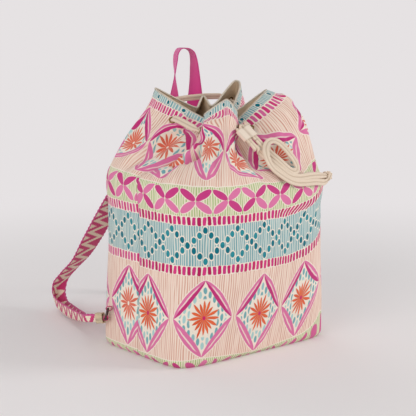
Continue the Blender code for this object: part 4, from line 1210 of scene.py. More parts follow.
@dataclass(frozen=True)
class ZigzagWebbing:
    """Jacquard webbing: a beige zigzag woven through pink, in stepped yarns, with a pink edge."""

    width: float
    yarn: float = 0.0019
    repeat_length: float = 0.0290
    reach: float = 0.34
    stroke: float = 0.165
    notch: float = 0.50

    def make(self, name: str) -> bpy.types.Material:
        """Return the webbing.

        A triangle wave of the length gives the zigzag's middle. The yarn is beige near that
        middle, and again far to its left, where it fills the notches. Reach, stroke and notch
        are shares of the width.
        """
        g = Graph.material(name)
        across, along = g.map()
        x = g.math("FLOOR", across / self.yarn) * self.yarn
        y = g.math("FLOOR", along / self.yarn) * self.yarn
        middle = g.math("PINGPONG", y, self.repeat_length / 2) * (4 / self.repeat_length) - 1.0
        off = x / self.width - middle * self.reach
        beige = g.under(abs(off), self.stroke, 0.02)
        filled = g.under(off, -self.notch - 0.02, 0.02)
        edge = g.ramp(abs(across), self.width * 0.435, self.width * 0.455)
        knit = g.wave(across, self.yarn) * g.wave(along, self.yarn)
        # Painted shade in the hollows between the yarns, on the pink and the beige alike
        low = (1.0 - knit) * 0.4
        colour = g.mix(g.math("MAXIMUM", beige, filled), g.shade(low, STRAP_PINK, 0.55),
                       g.shade(low, STRAP_BEIGE, 0.62))
        colour = g.mix(edge, colour, STRAP_EDGE)
        return g.finish(colour, 0.82, knit * 0.6 + beige * 0.4, 0.0006, sheen=0.2)


@dataclass(frozen=True)
class WornMetal:
    """Aged metal whose recesses are darker and rougher."""

    tone: Colour
    roughness: float

    def make(self, name: str) -> bpy.types.Material:
        """Return the metal as a material on object coordinates."""
        g = Graph.material(name)
        x, y, z = g.place()
        spots = g.noise(x * 900 + z * 500, y * 900 + z * 300, detail=3.0)
        colour = g.shade(g.ramp(spots, 0.4, 0.7), self.tone, 0.45)
        return g.finish(colour, self.roughness + spots * 0.25, spots, 0.00008, metallic=1.0)


class Hand(Enum):
    """The two sides of the bag, as the wearer names them, with the sign of their x."""

    LEFT = -1
    RIGHT = 1

    @property
    def word(self) -> str:
        """Return the side's word in names."""
        return self.name.lower()

    @property
    def mirror(self) -> Array:
        """Return the factors that carry a point of the left side to this side."""
        return np.array((-self.value, 1.0, 1.0))


@dataclass
class Rider:
    """What is common to the sub-assemblies: dressing a piece and putting it on its body."""

    made: list[Piece] = field(default_factory=list)

    def dress(self, piece: Piece, finish: bpy.types.Material, body: str, slot: str,
              *nodes: str) -> Piece:
        """Give a piece its finish and its body, and hide the nodes that it stands for."""
        piece.data.materials.append(finish)
        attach(piece, body)
        if nodes:
            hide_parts(*nodes)
        self.made.append(piece)
        return piece

    def report(self) -> None:
        """Log each piece that was made."""
        for piece in self.made:
            LOG.info("%s: %s, %d points", type(self).__name__, piece.name, len(piece.data.vertices))


# Camera

@dataclass(frozen=True)
class Studio:
    """Camera, lamps, floor and surroundings."""

    camera_place: Triple = (-1.054, -1.2458, 0.4658)
    camera_turn: float = -39.88
    camera_pitch: float = -9.158
    lens: float = 94.62
    sensor: float = 36.0
    world_light: float = 0.47
    floor_half: float = 14.0
    floor_fade: Pair = (0.45, 1.5)
    floor_roughness: float = 0.9
    lamp_aim: Triple = (0.0, 0.0, 0.2)
    lamps: tuple[tuple[str, Triple, float, float], ...] = (
        ("key_light", (2.0, -1.8, 0.95), 1.1, 33.0),
        ("fill_light", (-2.1, -0.8, 0.8), 1.4, 21.0),
        ("back_light", (0.4, 1.8, 1.6), 1.6, 7.0),
    )

    def build(self) -> None:
        """Set up everything that is not the object."""
        scene = bpy.context.scene
        scene.view_settings.view_transform = "Standard"
        data = bpy.data.cameras.new("camera")
        data.lens, data.sensor_width = self.lens, self.sensor
        turn = (math.radians(90 + self.camera_pitch), 0, math.radians(self.camera_turn))
        scene.camera = self.put(data, self.camera_place, turn)
        self.world(scene)
        self.floor()
        for name, place, size, power in self.lamps:
            data = bpy.data.lights.new(name, "AREA")
            data.size, data.energy = size, power
            aim = Vector(self.lamp_aim) - Vector(place)
            self.put(data, place, aim.to_track_quat("-Z", "Y").to_euler())

    @staticmethod
    def put(data: bpy.types.ID, place: Sequence[float], turn: Sequence[float]) -> Piece:
        """Put a camera or lamp into the scene."""
        made = bpy.data.objects.new(data.name, data)
        made.location, made.rotation_euler = place, turn
        bpy.context.scene.collection.objects.link(made)
        return made

    def world(self, scene: bpy.types.Scene) -> None:
        """Make even white surroundings that the camera and reflections see as the pale backdrop."""
        scene.world = bpy.data.worlds.new("studio")
        g = Graph(scene.world)
        light = g.nodes["Background"].inputs
        g.plug(light["Color"], WHITE)
        g.plug(light["Strength"], self.world_light)
        seen = g.node("ShaderNodeBackground", {}, {"Color": BACKGROUND, "Strength": 1.0})
        camera, glossy, through = (g.node("ShaderNodeLightPath", {}, {}, f"Is {kind} Ray")
                                   for kind in ("Camera", "Glossy", "Transmission"))
        g.blend(g.math("MAXIMUM", camera, g.math("MAXIMUM", glossy, through)), "Background", seen,
                "World Output")

    def floor(self) -> None:
        """Make a pale floor that turns into the backdrop's own colour far from the bag."""
        h = self.floor_half
        corners = np.array([(-h, -h, 0), (h, -h, 0), (h, h, 0), (-h, h, 0)], float)
        floor = make_object("floor", corners, [(0, 1, 2, 3)])
        g = Graph.material("floor")
        x, y, _ = g.place()
        floor.data.materials.append(g.finish(FLOOR_TONE, self.floor_roughness))
        glow = g.node("ShaderNodeEmission", {}, {"Color": BACKGROUND, "Strength": 1.0})
        g.blend(g.ramp(g.length(x, y), *self.floor_fade), PRINCIPLED, glow, "Material Output")


# Cords

CORD_STANDOFF = 0.0052
CORD_PULL = 0.45
CORD_RUN_POINTS = 5
END_LEAD = 0.0035
SLIDER_LEAD_IN = 0.010
SLIDER_LEAD_OUT = 0.020
SLIDER_TRAVEL = 0.006
SLIDER_LEAD = 0.0015
SLIDER_CENTRE = np.array((-0.0140, -0.0872, 0.3227))
SLIDER_AXIS = unit((0.3092, -0.6571, -0.6875))
SLIDER_ACROSS = (0.9505, 0.1899, 0.2459)
SLIDER_L = 0.0185
CHANNEL_PITCH = 0.0145
CORD_LIFT = 0.0040
CORD_OVER = 0.0132
CORD_TOP = 0.0155
# Free ends: place, height, and the lift where it isn't the usual one
END_LEFT_ROUTE = [
    (-0.0315, 0.3450), (-0.0345, 0.3300), (-0.0352, 0.3130),
    (-0.0350, 0.2940), (-0.0380, 0.2780), (-0.0540, 0.2695),
    (-0.0770, 0.2680), (-0.1040, 0.2640), (-0.1170, 0.2605, 0.0060),
]
END_RIGHT_ROUTE = [
    (-0.0430, 0.3400), (-0.0445, 0.3250), (-0.0452, 0.3100),
    (-0.0450, 0.2955), (-0.0475, 0.2870), (-0.0530, 0.2830),
    (-0.0590, 0.2860), (-0.0620, 0.2930), (-0.0640, 0.3025),
    (-0.0640, 0.3220), (-0.0630, 0.3380), (-0.0600, 0.3480, 0.0060),
    (-0.0550, 0.3530, 0.0095), (-0.0480, 0.3530, CORD_OVER), (-0.0400, 0.3490, CORD_TOP),
    (-0.0330, 0.3420, CORD_TOP), (-0.0280, 0.3330, CORD_OVER), (-0.0255, 0.3230, 0.0095),
    (-0.0245, 0.3130, 0.0058), (-0.0245, 0.3020), (-0.0250, 0.2880),
    (-0.0290, 0.2700), (-0.0420, 0.2600), (-0.0620, 0.2575),
    (-0.0840, 0.2565), (-0.1080, 0.2520, 0.0045), (-0.1190, 0.2520, 0.0062),
]
KNOT_CENTRE = np.array((0.1272, -0.1115, 0.2520))
KNOT_SIZE = np.array((0.017, 0.014, 0.013))


@dataclass
class Drawcord(Rider):
    """The flat canvas cord, its two free ends, the knot and the slider."""

    half_w: float = 0.0052
    half_h: float = 0.0018
    keeper_half_w: float = 0.0149
    rows: int = 260
    path_step: int = 4
    smooth_points: int = 23
    held_rows: int = 700
    held_smooth: int = 11
    eyelet_half_w: float = 0.0028
    eyelet_half_h: float = 0.0017
    strand: float = 0.0021
    knot_half_w: float = 0.0034
    knot_rows: int = 160
    end_narrow_l: float = 0.020
    end_narrow: float = 0.0018
    end_thicken: float = 0.0006
    keeper_half_h: float = 0.0034
    keeper_wall: Pair = (0.0012, 0.0010)
    keeper_pinch: float = 0.42
    keeper_pinch_w: float = 0.10
    keeper_shape: float = 0.45
    keeper_mesh: tuple[int, int] = (64, 22)

    @staticmethod
    def axes() -> tuple[Array, Array]:
        """Return the slider's across and outward directions."""
        across = square_to(SLIDER_ACROSS, SLIDER_AXIS)
        return across, np.cross(SLIDER_AXIS, across)

    def channel(self, side: int) -> tuple[Array, Array]:
        """Return where the cord is straight above and below the slider on one side."""
        middle = SLIDER_CENTRE + self.axes()[0] * side * CHANNEL_PITCH / 2
        return (middle - SLIDER_AXIS * (SLIDER_L / 2 + SLIDER_LEAD),
                middle + SLIDER_AXIS * (SLIDER_L / 2 + SLIDER_TRAVEL))

    @staticmethod
    def bend(p0: Array, d0: Array, p1: Array, d1: Array, pull: float,
             count: int) -> list[Array]:
        """Return the points between two ends of a cubic that leaves along d0 and arrives along d1."""
        return list(cubic(np.linspace(0, 1, count + 2)[1:-1, None], p0, d0 * pull, p1, d1 * pull))

    def held_route(self) -> tuple[Array, Array, Array]:
        """Return the held cord's points, the direction of its width and its closeness to an eyelet."""
        seats = list(CLOTH.seats.values())
        across, _ = self.axes()
        start, low = self.channel(-1)
        points, wide, tight = [low, start], [across, across], [0.0, 0.0]
        pair = EYELET_T + 2 * FOLD_SAMPLE * np.array([-1, 1])
        along_t = [unit(np.diff(CLOTH.outer(np.array([seat.place]), pair), axis=0)[0, 0])
                   for seat in seats]

        def add(new: Sequence[Array], first: Array, last: Array) -> None:
            """Add points whose width turns from one direction to another."""
            for k, p in enumerate(new):
                q = (k + 1) / (len(new) + 1)
                points.append(p)
                wide.append(unit(first * (1 - q) + last * q))
                tight.append(0.0)

        def ends(index: int, side: int) -> tuple[Array, Array]:
            """Return the cord's point and direction on one side of an eyelet."""
            seat = seats[index]
            out = seat.normal * side
            return seat.centre - seat.normal * WALL / 2 + out * CORD_STANDOFF, out

        place, out = ends(0, 1)
        add(self.bend(start, -SLIDER_AXIS, place, -out, SLIDER_LEAD_IN, 2), across, along_t[0])
        side = 1
        for number in range(len(seats)):
            enter, _ = ends(number, side)
            leave, out = ends(number, -side)
            points += [enter, leave]
            wide += [along_t[number]] * 2
            tight += [1.0, 1.0]
            side = -side
            if number + 1 < len(seats):
                place, arrive = ends(number + 1, side)
                pull = CORD_PULL * float(np.linalg.norm(place - leave))
                add(self.bend(leave, out, place, -arrive, pull, CORD_RUN_POINTS),
                    along_t[number], along_t[number + 1])
        start, low = self.channel(1)
        add(self.bend(leave, out, start, SLIDER_AXIS, SLIDER_LEAD_OUT, 4), along_t[-1], across)
        points += [start, low]
        wide += [across, across]
        tight += [0.0, 0.0]
        return np.array(points), np.array(wide), np.array(tight)

    def smooth(self, line: Array) -> Array:
        """Return a line averaged over its neighbours with a bell-shaped weight, its ends kept."""
        half = self.smooth_points // 2
        before, after = 2 * line[0] - line[half:0:-1], 2 * line[-1] - line[-2:-half - 2:-1]
        return averaged(np.concatenate([before, line, after]), np.hanning(self.smooth_points + 2)[1:-1])

    def held(self, finish: bpy.types.Material) -> None:
        """Make the cord through the eyelets, narrower and thicker where it is squeezed in one."""
        points, wide, tight = self.held_route()
        far = distances(points)
        at = np.linspace(0, far[-1], self.held_rows)
        line = straight_table(at, far, points)
        half = self.held_smooth // 2
        padded = np.pad(line, ((half, half), (0, 0)), mode="edge")
        inside = slice(half + 1, -half - 1)
        line[inside] = averaged(padded, np.hanning(self.held_smooth))[inside]
        turn = unit(straight_table(at, far, wide))
        squeeze = fade(np.interp(at, far, tight), 0.0, 0.8)
        half_w = self.half_w + (self.eyelet_half_w - self.half_w) * squeeze
        half_h = self.half_h + (self.eyelet_half_h - self.half_h) * squeeze
        piece = sweep("drawcord_tape", line, turn, half_w, half_h)
        self.dress(piece, finish, "body", "cord", "drawcord")

    def free_end(self, hand: Hand, route: Sequence[tuple[float, ...]],
                 finish: bpy.types.Material, knot: Piece) -> None:
        """Make one free end: out of the slider, over the cloth and into the knot."""
        _, low = self.channel(hand.value)
        across, _ = self.axes()
        points = [low + SLIDER_AXIS * PIECE_GAP, low + SLIDER_AXIS * END_LEAD]
        wide = []
        for s, t, *lift in route:
            points.append(CLOTH.point(s, t, *lift or (CORD_LIFT,)))
            wide.append(points[-1] - CLOTH.point(s, t, 0.0))
        reach = KNOT_CENTRE - points[-1]
        inside = (KNOT_SIZE.max() / 2 + PIECE_GAP) / float(np.linalg.norm(reach))
        points = np.array(points + [points[-1] + reach * (1 - inside)])
        tangent = unit(np.gradient(points, axis=0))[2:]
        turns = np.concatenate([[-across] * 2, np.cross(unit(np.array(wide + wide[-1:])), tangent)])
        line, at = resample(self.smooth(resample(points, self.rows)[0]), self.rows)
        far = distances(points)
        turn = unit(straight_table(at / at[-1], far / far[-1], turns))
        narrow = fade(at, at[-1] - self.end_narrow_l, at[-1])
        piece = sweep("cord_end_" + hand.word, line, turn, self.half_w - self.end_narrow * narrow,
                      self.half_h + self.end_thicken * narrow)
        self.dress(piece, finish, "body", "cord", "drawcord_end_" + hand.word)
        2 * self.half_w

    def knot(self, finish: bpy.types.Material) -> Piece:
        """Make the knot: a cord along a trefoil, x = sin a + 2 sin 2a and so on, in its box."""
        a = np.linspace(0, 2 * math.pi, self.knot_rows)
        line = np.stack([np.sin(a) + 2 * np.sin(2 * a), np.cos(a) - 2 * np.cos(2 * a),
                         -np.sin(3 * a)], -1)
        line = line / np.abs(line).max(0) * (KNOT_SIZE / 2 - self.strand) + KNOT_CENTRE
        wide = np.cross(unit(line - KNOT_CENTRE), unit(np.gradient(line, axis=0)))
        steady = np.ones(len(line))
        piece = sweep("cord_knot", line, wide, steady * self.knot_half_w, steady * self.strand)
        return self.dress(piece, finish, "body", "cord", "drawcord_knot")

    def slider(self, finish: bpy.types.Material) -> None:
        """Make the keeper: a flat tube round both cords, pinched by the seam between them."""
        steps, rows = self.keeper_mesh
        x, y = oblong(steps, self.keeper_shape, self.keeper_shape)
        outside = np.array((self.keeper_half_w, self.keeper_half_h))
        piece = sleeve("cord_keeper", SLIDER_CENTRE, (*self.axes(), SLIDER_AXIS), SLIDER_L / 2,
                       (x, y * (1 - self.keeper_pinch * bell(x, self.keeper_pinch_w))),
                       (outside, outside - self.keeper_wall), rows, x * self.keeper_half_w)
        self.dress(piece, finish, "slider", "cord", "cord_slider")

    def build(self) -> None:
        """Make every piece of cord."""
        finish = CordCanvas(CORD_TONE, self.half_w).make("cord_canvas")
        knot = self.knot(finish)
        for hand, route in ((Hand.LEFT, END_LEFT_ROUTE), (Hand.RIGHT, END_RIGHT_ROUTE)):
            self.free_end(hand, route, finish, knot)
        self.held(finish)
        self.slider(CordCanvas(KEEPER_TONE, self.keeper_half_w).make("keeper_canvas"))


# Cloth pieces

# How the gathers pull the upper print: place, height, shift round, shift up
PRINT_PULLS = [
    (0.1096, 0.3488, 0.0030, -0.0130), (0.1064, 0.2782, 0.0000, 0.0000),
    (0.0552, 0.3128, -0.0410, 0.0230), (0.0136, 0.2820, 0.0000, -0.0040),
    (-0.0488, 0.3292, -0.0360, 0.0070), (-0.0680, 0.2828, -0.0165, -0.0050),
    (-0.0424, 0.3788, -0.0420, 0.0150), (-0.0984, 0.3412, -0.0350, -0.0050),
    (0.2680, 0.3578, -0.0095, -0.0170), (0.3032, 0.3292, 0.0540, 0.0120),
    (0.2250, 0.3390, -0.0140, -0.0030), (0.1928, 0.2782, 0.0180, 0.0000),
]
# Place and shift round at the rim
RIM_PULLS = {
    Side.FRONT: [(-0.236, -0.020), (-0.160, -0.032), (-0.100, -0.038), (-0.050, -0.042), (0.000, -0.042),
                 (0.050, -0.036), (0.110, 0.0), (0.170, 0.0), (0.236, -0.010)],
    Side.BACK: [(0.236, 0.0), (0.290, 0.0), (0.340, 0.03), (0.420, 0.0), (0.520, 0.0), (0.708, 0.0)],
}
PULL_STILL = {Side.FRONT: (-0.236, -0.180), Side.BACK: (0.400, 0.480, 0.560, 0.640, 0.708)}
PULL_MIDDLE_T = 0.340
PULL_HOLDS = 9
PLATE_UNIT = 0.05
PLATE_FLOOR = 1e-12


@dataclass(frozen=True)
class PrintShift:
    """How the print lies askew on the sewn bag: shifts and the places where they start and end."""

    turn: float = 0.0185
    turn_run: float = 0.030
    turn_power: float = 1.5
    turn_end: Pair = (0.206, 0.225)
    climb_first: float = 0.0045
    climb_first_at: Pair = (0.02, 0.06)
    climb_rate: float = 5.0
    climb_start: float = 0.045
    climb_most: float = 0.034
    climb_end: Pair = (0.14, 0.22)
    climb_foot: Pair = (-0.02, 0.05)
    climb_top: Pair = (0.33, 0.40)
    swing: float = 0.004
    swing_places: Pair = (0.115, 0.0145)
    swing_width: float = 0.035
    swing_end: Pair = (0.10, 0.14)
    pulls_at: Pair = (SHOULDER_T - 0.004, SHOULDER_T + 0.010)
    rim_at: Pair = (0.378, 0.394)


def spread(places: Array, values: Array, a: Array, b: Array) -> Array:
    """Return a thin plate through set values: a plane plus a sum of r squared times log r."""
    spots = places / PLATE_UNIT
    count = len(spots)

    def bend(x: Array, y: Array) -> Array:
        """Return r squared times log r."""
        return (x**2 + y**2) * np.log(x**2 + y**2 + PLATE_FLOOR)

    flat = np.column_stack([np.ones(count), spots])
    bent = bend(*(spots[:, None] - spots[None]).transpose(2, 0, 1))
    full = np.block([[bent, flat], [flat.T, np.zeros((3, 3))]])
    share = np.linalg.solve(full, np.append(values, np.zeros(3)))
    x, y = a / PLATE_UNIT, b / PLATE_UNIT
    total = share[count] + share[count + 1] * x + share[count + 2] * y
    for (u, v), w in zip(spots, share):
        total = total + w * bend(x - u, y - v)
    return total


@dataclass
class BagCloth(Rider):
    """Printed panels, lining, base and eyelets."""

    columns: int = 240
    rows: int = 180
    lining_skip: int = 8
    lining_fine_t: float = 0.240
    foot_r: float = 0.0095
    foot_turn: float = 62.0
    floor_share: float = 0.965
    base_thick: float = 0.0016
    base_lift: float = 0.0004
    base_inset: float = 0.75
    base_steps: int = 200
    round_steps: int = 9
    rim_half_w: float = 0.0016
    rim_half_h: float = 0.0013
    rim_steps: int = 12
    lip_r: float = 0.00465
    lip_half: Pair = (0.00115, 0.00090)
    barrel_r: Pair = (0.0035, 0.0040)
    flange_r: Pair = (0.0050, 0.0055)
    flange_h: Pair = (0.0006, 0.0008)

    def heights(self) -> Array:
        """Return the rows of the cloth, from the floor to the rim."""
        return np.linspace(0, RIM_T, self.rows)

    @property
    def shoulder_row(self) -> int:
        """Return the number of the row at the shoulder."""
        return int(np.abs(self.heights() - SHOULDER_T).argmin())

    def places(self, start: float, end: float) -> Array:
        """Return the columns of one panel, cut clear of its neighbour at both seams."""
        return np.linspace(start + SEAM_GAP / 2, end - SEAM_GAP / 2, self.columns)

    def ring_places(self) -> Array:
        """Return the columns of both panels in one round."""
        return np.concatenate([self.places(-SEAM_S, SEAM_S), self.places(SEAM_S, PERIMETER - SEAM_S)])

    def print_map(self, s: Array, t: Array, side: Side) -> Array:
        """Return where each point lies on the print.

        The cloth was cut and gathered unevenly. Toward the right the rows shift round and climb
        as a square of the distance. Above the shoulder the print is pulled by the gathers: a few
        places have a set shift, and a thin plate through them gives the rest.
        """
        k = PrintShift()
        a, b = np.meshgrid(s, t)
        x = np.maximum(-a, 0)
        shift_s = -k.turn * (1 - np.exp(-(x / k.turn_run)**k.turn_power)) * (1 - fade(b, *k.turn_end))
        climb = k.climb_first * fade(x, *k.climb_first_at)
        climb = climb + k.climb_rate * np.maximum(x - k.climb_start, 0)**2
        climb = np.minimum(climb, k.climb_most) * (1 - fade(x, *k.climb_end))
        climb = climb * fade(b, *k.climb_foot) * (1 - fade(b, *k.climb_top))
        rise, dip = (bell(a - place, k.swing_width) for place in k.swing_places)
        shift_t = -climb - k.swing * (rise - dip) * (1 - fade(b, *k.swing_end))
        hold_s = np.linspace(s[0], s[-1], PULL_HOLDS)
        low = [np.interp(hold_s, s, shift[self.shoulder_row]) for shift in (shift_s, shift_t)]
        known = [pull for pull in PRINT_PULLS if (pull[0] > SEAM_S) == (side is Side.BACK)]
        known += [(x, SHOULDER_T, m, n) for x, m, n in zip(hold_s, *low)]
        known += [(x, RIM_T, m, 0.0) for x, m in RIM_PULLS[side]]
        known += [(x, PULL_MIDDLE_T, 0.0, 0.0) for x in PULL_STILL[side]]
        table = np.array(known)
        above = fade(b, *k.pulls_at)
        shift_s = shift_s * (1 - above) + above * spread(table[:, :2], table[:, 2], a, b)
        upward = spread(table[:, :2], table[:, 3], a, b) * (1 - fade(b, *k.rim_at))
        shift_t = shift_t * (1 - above) + above * upward
        return np.stack([a + shift_s, b + shift_t], -1)

    def tuck(self, grid: Array, t: Array, s: Array) -> Array:
        """Round the cloth's foot inward: low down it follows a circle toward the floor."""
        turn = np.radians(self.foot_turn) * np.clip(1 - t / self.foot_r, 0, 1)
        plan = CLOTH.outline(*LEVELS[0, 1:4], s / PERIMETER)
        inward = unit(-np.gradient(plan, axis=0)[:, ::-1] * np.array((1.0, -1.0)))
        inward = inward * np.sign((inward * -plan).sum(-1, keepdims=True))
        low = turn > 0
        moved = grid.copy()
        moved[low, :, :2] += (self.foot_r * (1 - np.cos(turn[low])))[:, None, None] * inward
        return moved

    def panel(self, name: str, node: str, start: float, end: float, side: Side) -> None:
        """Make one printed panel with a rounded foot."""
        s, t = self.places(start, end), self.heights()
        faces = []
        for depth in (0.0, CANVAS):
            grid = CLOTH.face(s, t, depth)
            grid[0, :, 2] = 0.0
            faces.append(self.tuck(grid, t, s))
        thread = np.stack(np.meshgrid(s, t), -1)
        piece = sheet_mesh(name, *faces, self.print_map(s, t, side), thread)
        finish = PrintedCanvas(side).make(name + "_print")
        self.dress(piece, finish, "body", node.replace("panel", "canvas"), node)

    def lining(self) -> None:
        """Make the lining: a cup inside the panels, on their columns and rows, up to the rim."""
        s, t = self.ring_places(), self.heights()
        keep = t >= self.lining_fine_t
        keep[::self.lining_skip] = True
        t = t[keep]
        t = np.concatenate([[0.0], t[t > 2 * self.foot_r]])
        layers = []
        for depth, floor in ((LINING_FACE, LINING_FLOOR_Z), (WALL, LINING_FLOOR_Z + LINING)):
            grid = CLOTH.face(s, t, depth)
            share = (floor - grid[0, :, 2]) / (grid[1, :, 2] - grid[0, :, 2])
            grid[0] += (grid[1] - grid[0]) * share[:, None]
            grid[0, :, :2] *= self.floor_share
            layers.append(grid)
        uv = np.stack(np.meshgrid(s, t), -1)
        rings, pairs = (np.concatenate([out, back[::-1]])[:, ::-1] for out, back in (layers, (uv, uv)))
        piece = capped("lining_cloth", rings, pairs)
        finish = PlainWeave(LINING_TONE, LINING_PITCH).make("lining_weave")
        self.dress(piece, finish, "body", "lining", "lining")

    def base(self) -> None:
        """Make the base board: the cloth's plan, drawn in by the foot's radius, with a rounded edge."""
        u = np.linspace(0, 1, self.base_steps, endpoint=False)
        half_w, half_d, square, _ = LEVELS[0, 1:]
        edge = self.base_thick / 2
        rings = []
        for a in np.radians(np.linspace(-90, 90, self.round_steps)):
            inset = WALL + self.foot_r * self.base_inset + edge * (1 - math.cos(a))
            plan = CLOTH.outline(half_w - inset, half_d - inset, square, u)
            height = np.full(len(u), self.base_lift + edge * (1 + math.sin(a)))
            rings.append(np.column_stack([plan, height]))
        piece = capped("base_board", np.array(rings))
        finish = PlainWeave(BASE_TONE, mapped=False).make("base_canvas")
        self.dress(piece, finish, "body", "base_board", "base_panel")

    def binding(self) -> None:
        """Make the rolled rim: a flattened tube along the cloth's edge, its section an oval."""
        s = self.ring_places()
        t = np.array([RIM_T - 2 * FOLD_SAMPLE, RIM_T])
        outer, inner = CLOTH.face(s, t, 0.0), CLOTH.face(s, t, WALL)
        middle = (outer[1] + inner[1]) / 2
        out = unit(outer[1] - inner[1])
        along = unit(np.roll(middle, -1, axis=0) - np.roll(middle, 1, axis=0))
        up = unit(np.cross(out, along))
        up = up * np.sign((up * (outer[1] - outer[0])).sum(-1, keepdims=True))
        a = np.linspace(0, 2 * math.pi, self.rim_steps, endpoint=False)
        points = (middle[:, None] + out[:, None] * (self.rim_half_w * np.cos(a))[None, :, None]
                  + up[:, None] * (self.rim_half_h * np.sin(a))[None, :, None])
        piece = hoop("rim_binding", points, map_of(points, a * self.rim_half_w, s))
        self.dress(piece, PlainWeave(RIM_TONE, LINING_PITCH).make("rim_canvas"), "body", "lining")

    def eyelet(self, name: str, finish: bpy.types.Material) -> None:
        """Make one eyelet: a rolled outer lip, the barrel and the flange inside."""
        seat = CLOTH.seats[name]
        top = -WALL - PIECE_GAP
        edge, low = top - np.array(self.flange_h)
        (bore, barrel), (flat, flange) = self.barrel_r, self.flange_r
        a = np.linspace(0, math.pi, self.round_steps)
        half_w, half_h = self.lip_half
        lip = np.stack([self.lip_r + half_w * np.cos(a), PIECE_GAP + half_h * np.sin(a)], -1)
        foot = [(bore, 0.0), (bore, low), (flat, low), (flange, edge), (flange, top), (barrel, top),
                (barrel, PIECE_GAP)]
        piece = revolve(name + "_brass", np.concatenate([lip, foot]), seat.centre, seat.normal)
        self.dress(piece, finish, "body", "brass", name)

    def build(self) -> None:
        """Make the cloth pieces."""
        self.panel("front_cloth", "front_panel", -SEAM_S, SEAM_S, Side.FRONT)
        self.panel("back_cloth", "back_panel", SEAM_S, PERIMETER - SEAM_S, Side.BACK)
        self.lining()
        self.base()
        self.binding()
        brass = WornMetal(BRASS_TONE, 0.34).make("aged_brass")
        for name in EYELETS:
            self.eyelet(name, brass)


# Webbing

HANDLE_ANCHOR_T = (0.291, 0.301, 0.311)
HANDLE_LEFT_S = 0.463
HANDLE_RIGHT_S = 0.521
HANDLE_FREE = [
    ((0.0050, 0.1060, 0.3250), 0), ((0.0050, 0.1050, 0.3450), 6), ((0.0050, 0.1040, 0.3650), 22),
    ((0.0058, 0.1040, 0.3850), 40), ((0.0068, 0.1040, 0.4050), 56), ((0.0078, 0.1040, 0.4220), 66),
    ((0.0098, 0.1038, 0.4330), 67), ((0.0150, 0.1035, 0.4395), 68), ((0.0240, 0.1030, 0.4405), 68),
    ((0.0330, 0.1030, 0.4390), 68), ((0.0395, 0.1030, 0.4345), 70), ((0.0430, 0.1030, 0.4250), 74),
    ((0.0452, 0.1032, 0.4080), 82), ((0.0468, 0.1038, 0.3900), 90), ((0.0478, 0.1045, 0.3700), 104),
    ((0.0478, 0.1045, 0.3500), 142), ((0.0475, 0.1040, 0.3290), 176),
]
STRAP_LEFT_S = 0.411
STRAP_ANCHOR_T = (0.283, 0.272, 0.262, 0.252)
# Fold line of the left strap, then its near edge and its far edge measured from that line
STRAP_FREE = [
    ((-0.0640, 0.1400, 0.2380), (-0.0200, 0.0, 0.0), (0.0200, 0.0, 0.0)),
    ((-0.0650, 0.1600, 0.2150), (-0.0200, 0.0, 0.0), (0.0200, 0.0, 0.0)),
    ((-0.0650, 0.1980, 0.1730), (-0.0200, 0.0, 0.0), (0.0200, 0.0, 0.0)),
    ((-0.0650, 0.2350, 0.1300), (-0.0200, 0.0, 0.0), (0.0200, 0.0, 0.0)),
    ((-0.0670, 0.2680, 0.0920), (-0.0198, -0.002, -0.002), (0.0198, 0.002, 0.002)),
    ((-0.0740, 0.2980, 0.0620), (-0.0190, -0.005, 0.002), (0.0190, 0.001, 0.005)),
    ((-0.0830, 0.3140, 0.0400), (-0.0165, -0.009, 0.006), (0.0185, -0.002, 0.007)),
    ((-0.0910, 0.3140, 0.0220), (-0.0120, -0.0125, 0.0100), (0.0170, -0.008, 0.008)),
    ((-0.0980, 0.2960, 0.0095), (-0.0080, -0.0100, 0.0155), (0.0170, -0.006, 0.0090)),
    ((-0.1080, 0.2620, 0.0062), (-0.0060, -0.0030, 0.0188), (0.0160, -0.003, 0.0120)),
    ((-0.1200, 0.2230, 0.0078), (-0.0040, -0.0010, 0.0190), (0.0125, -0.001, 0.0150)),
    ((-0.1310, 0.1870, 0.0130), (-0.0030, 0.0, 0.0160), (0.0085, 0.0, 0.0145)),
    ((-0.1410, 0.1525, 0.0195), (-0.0022, 0.0010, 0.0125), (0.0055, 0.0010, 0.0125)),
]
RING_CENTRE = np.array((-0.1553, 0.0647, 0.0509))
RING_UP = (0.2684, -0.0220, 0.9630)
RING_ALONG = (0.633, 0.7576, -0.1592)
RING_R = 0.0085
RING_WIRE_R = 0.0015
COLLAR_AXIS = (0.250, -0.955, 0.160)
# The five places across webbing at which its middle surface is given, as shares of its width
RIBBON_PLACES = np.linspace(-0.5, 0.5, 5)


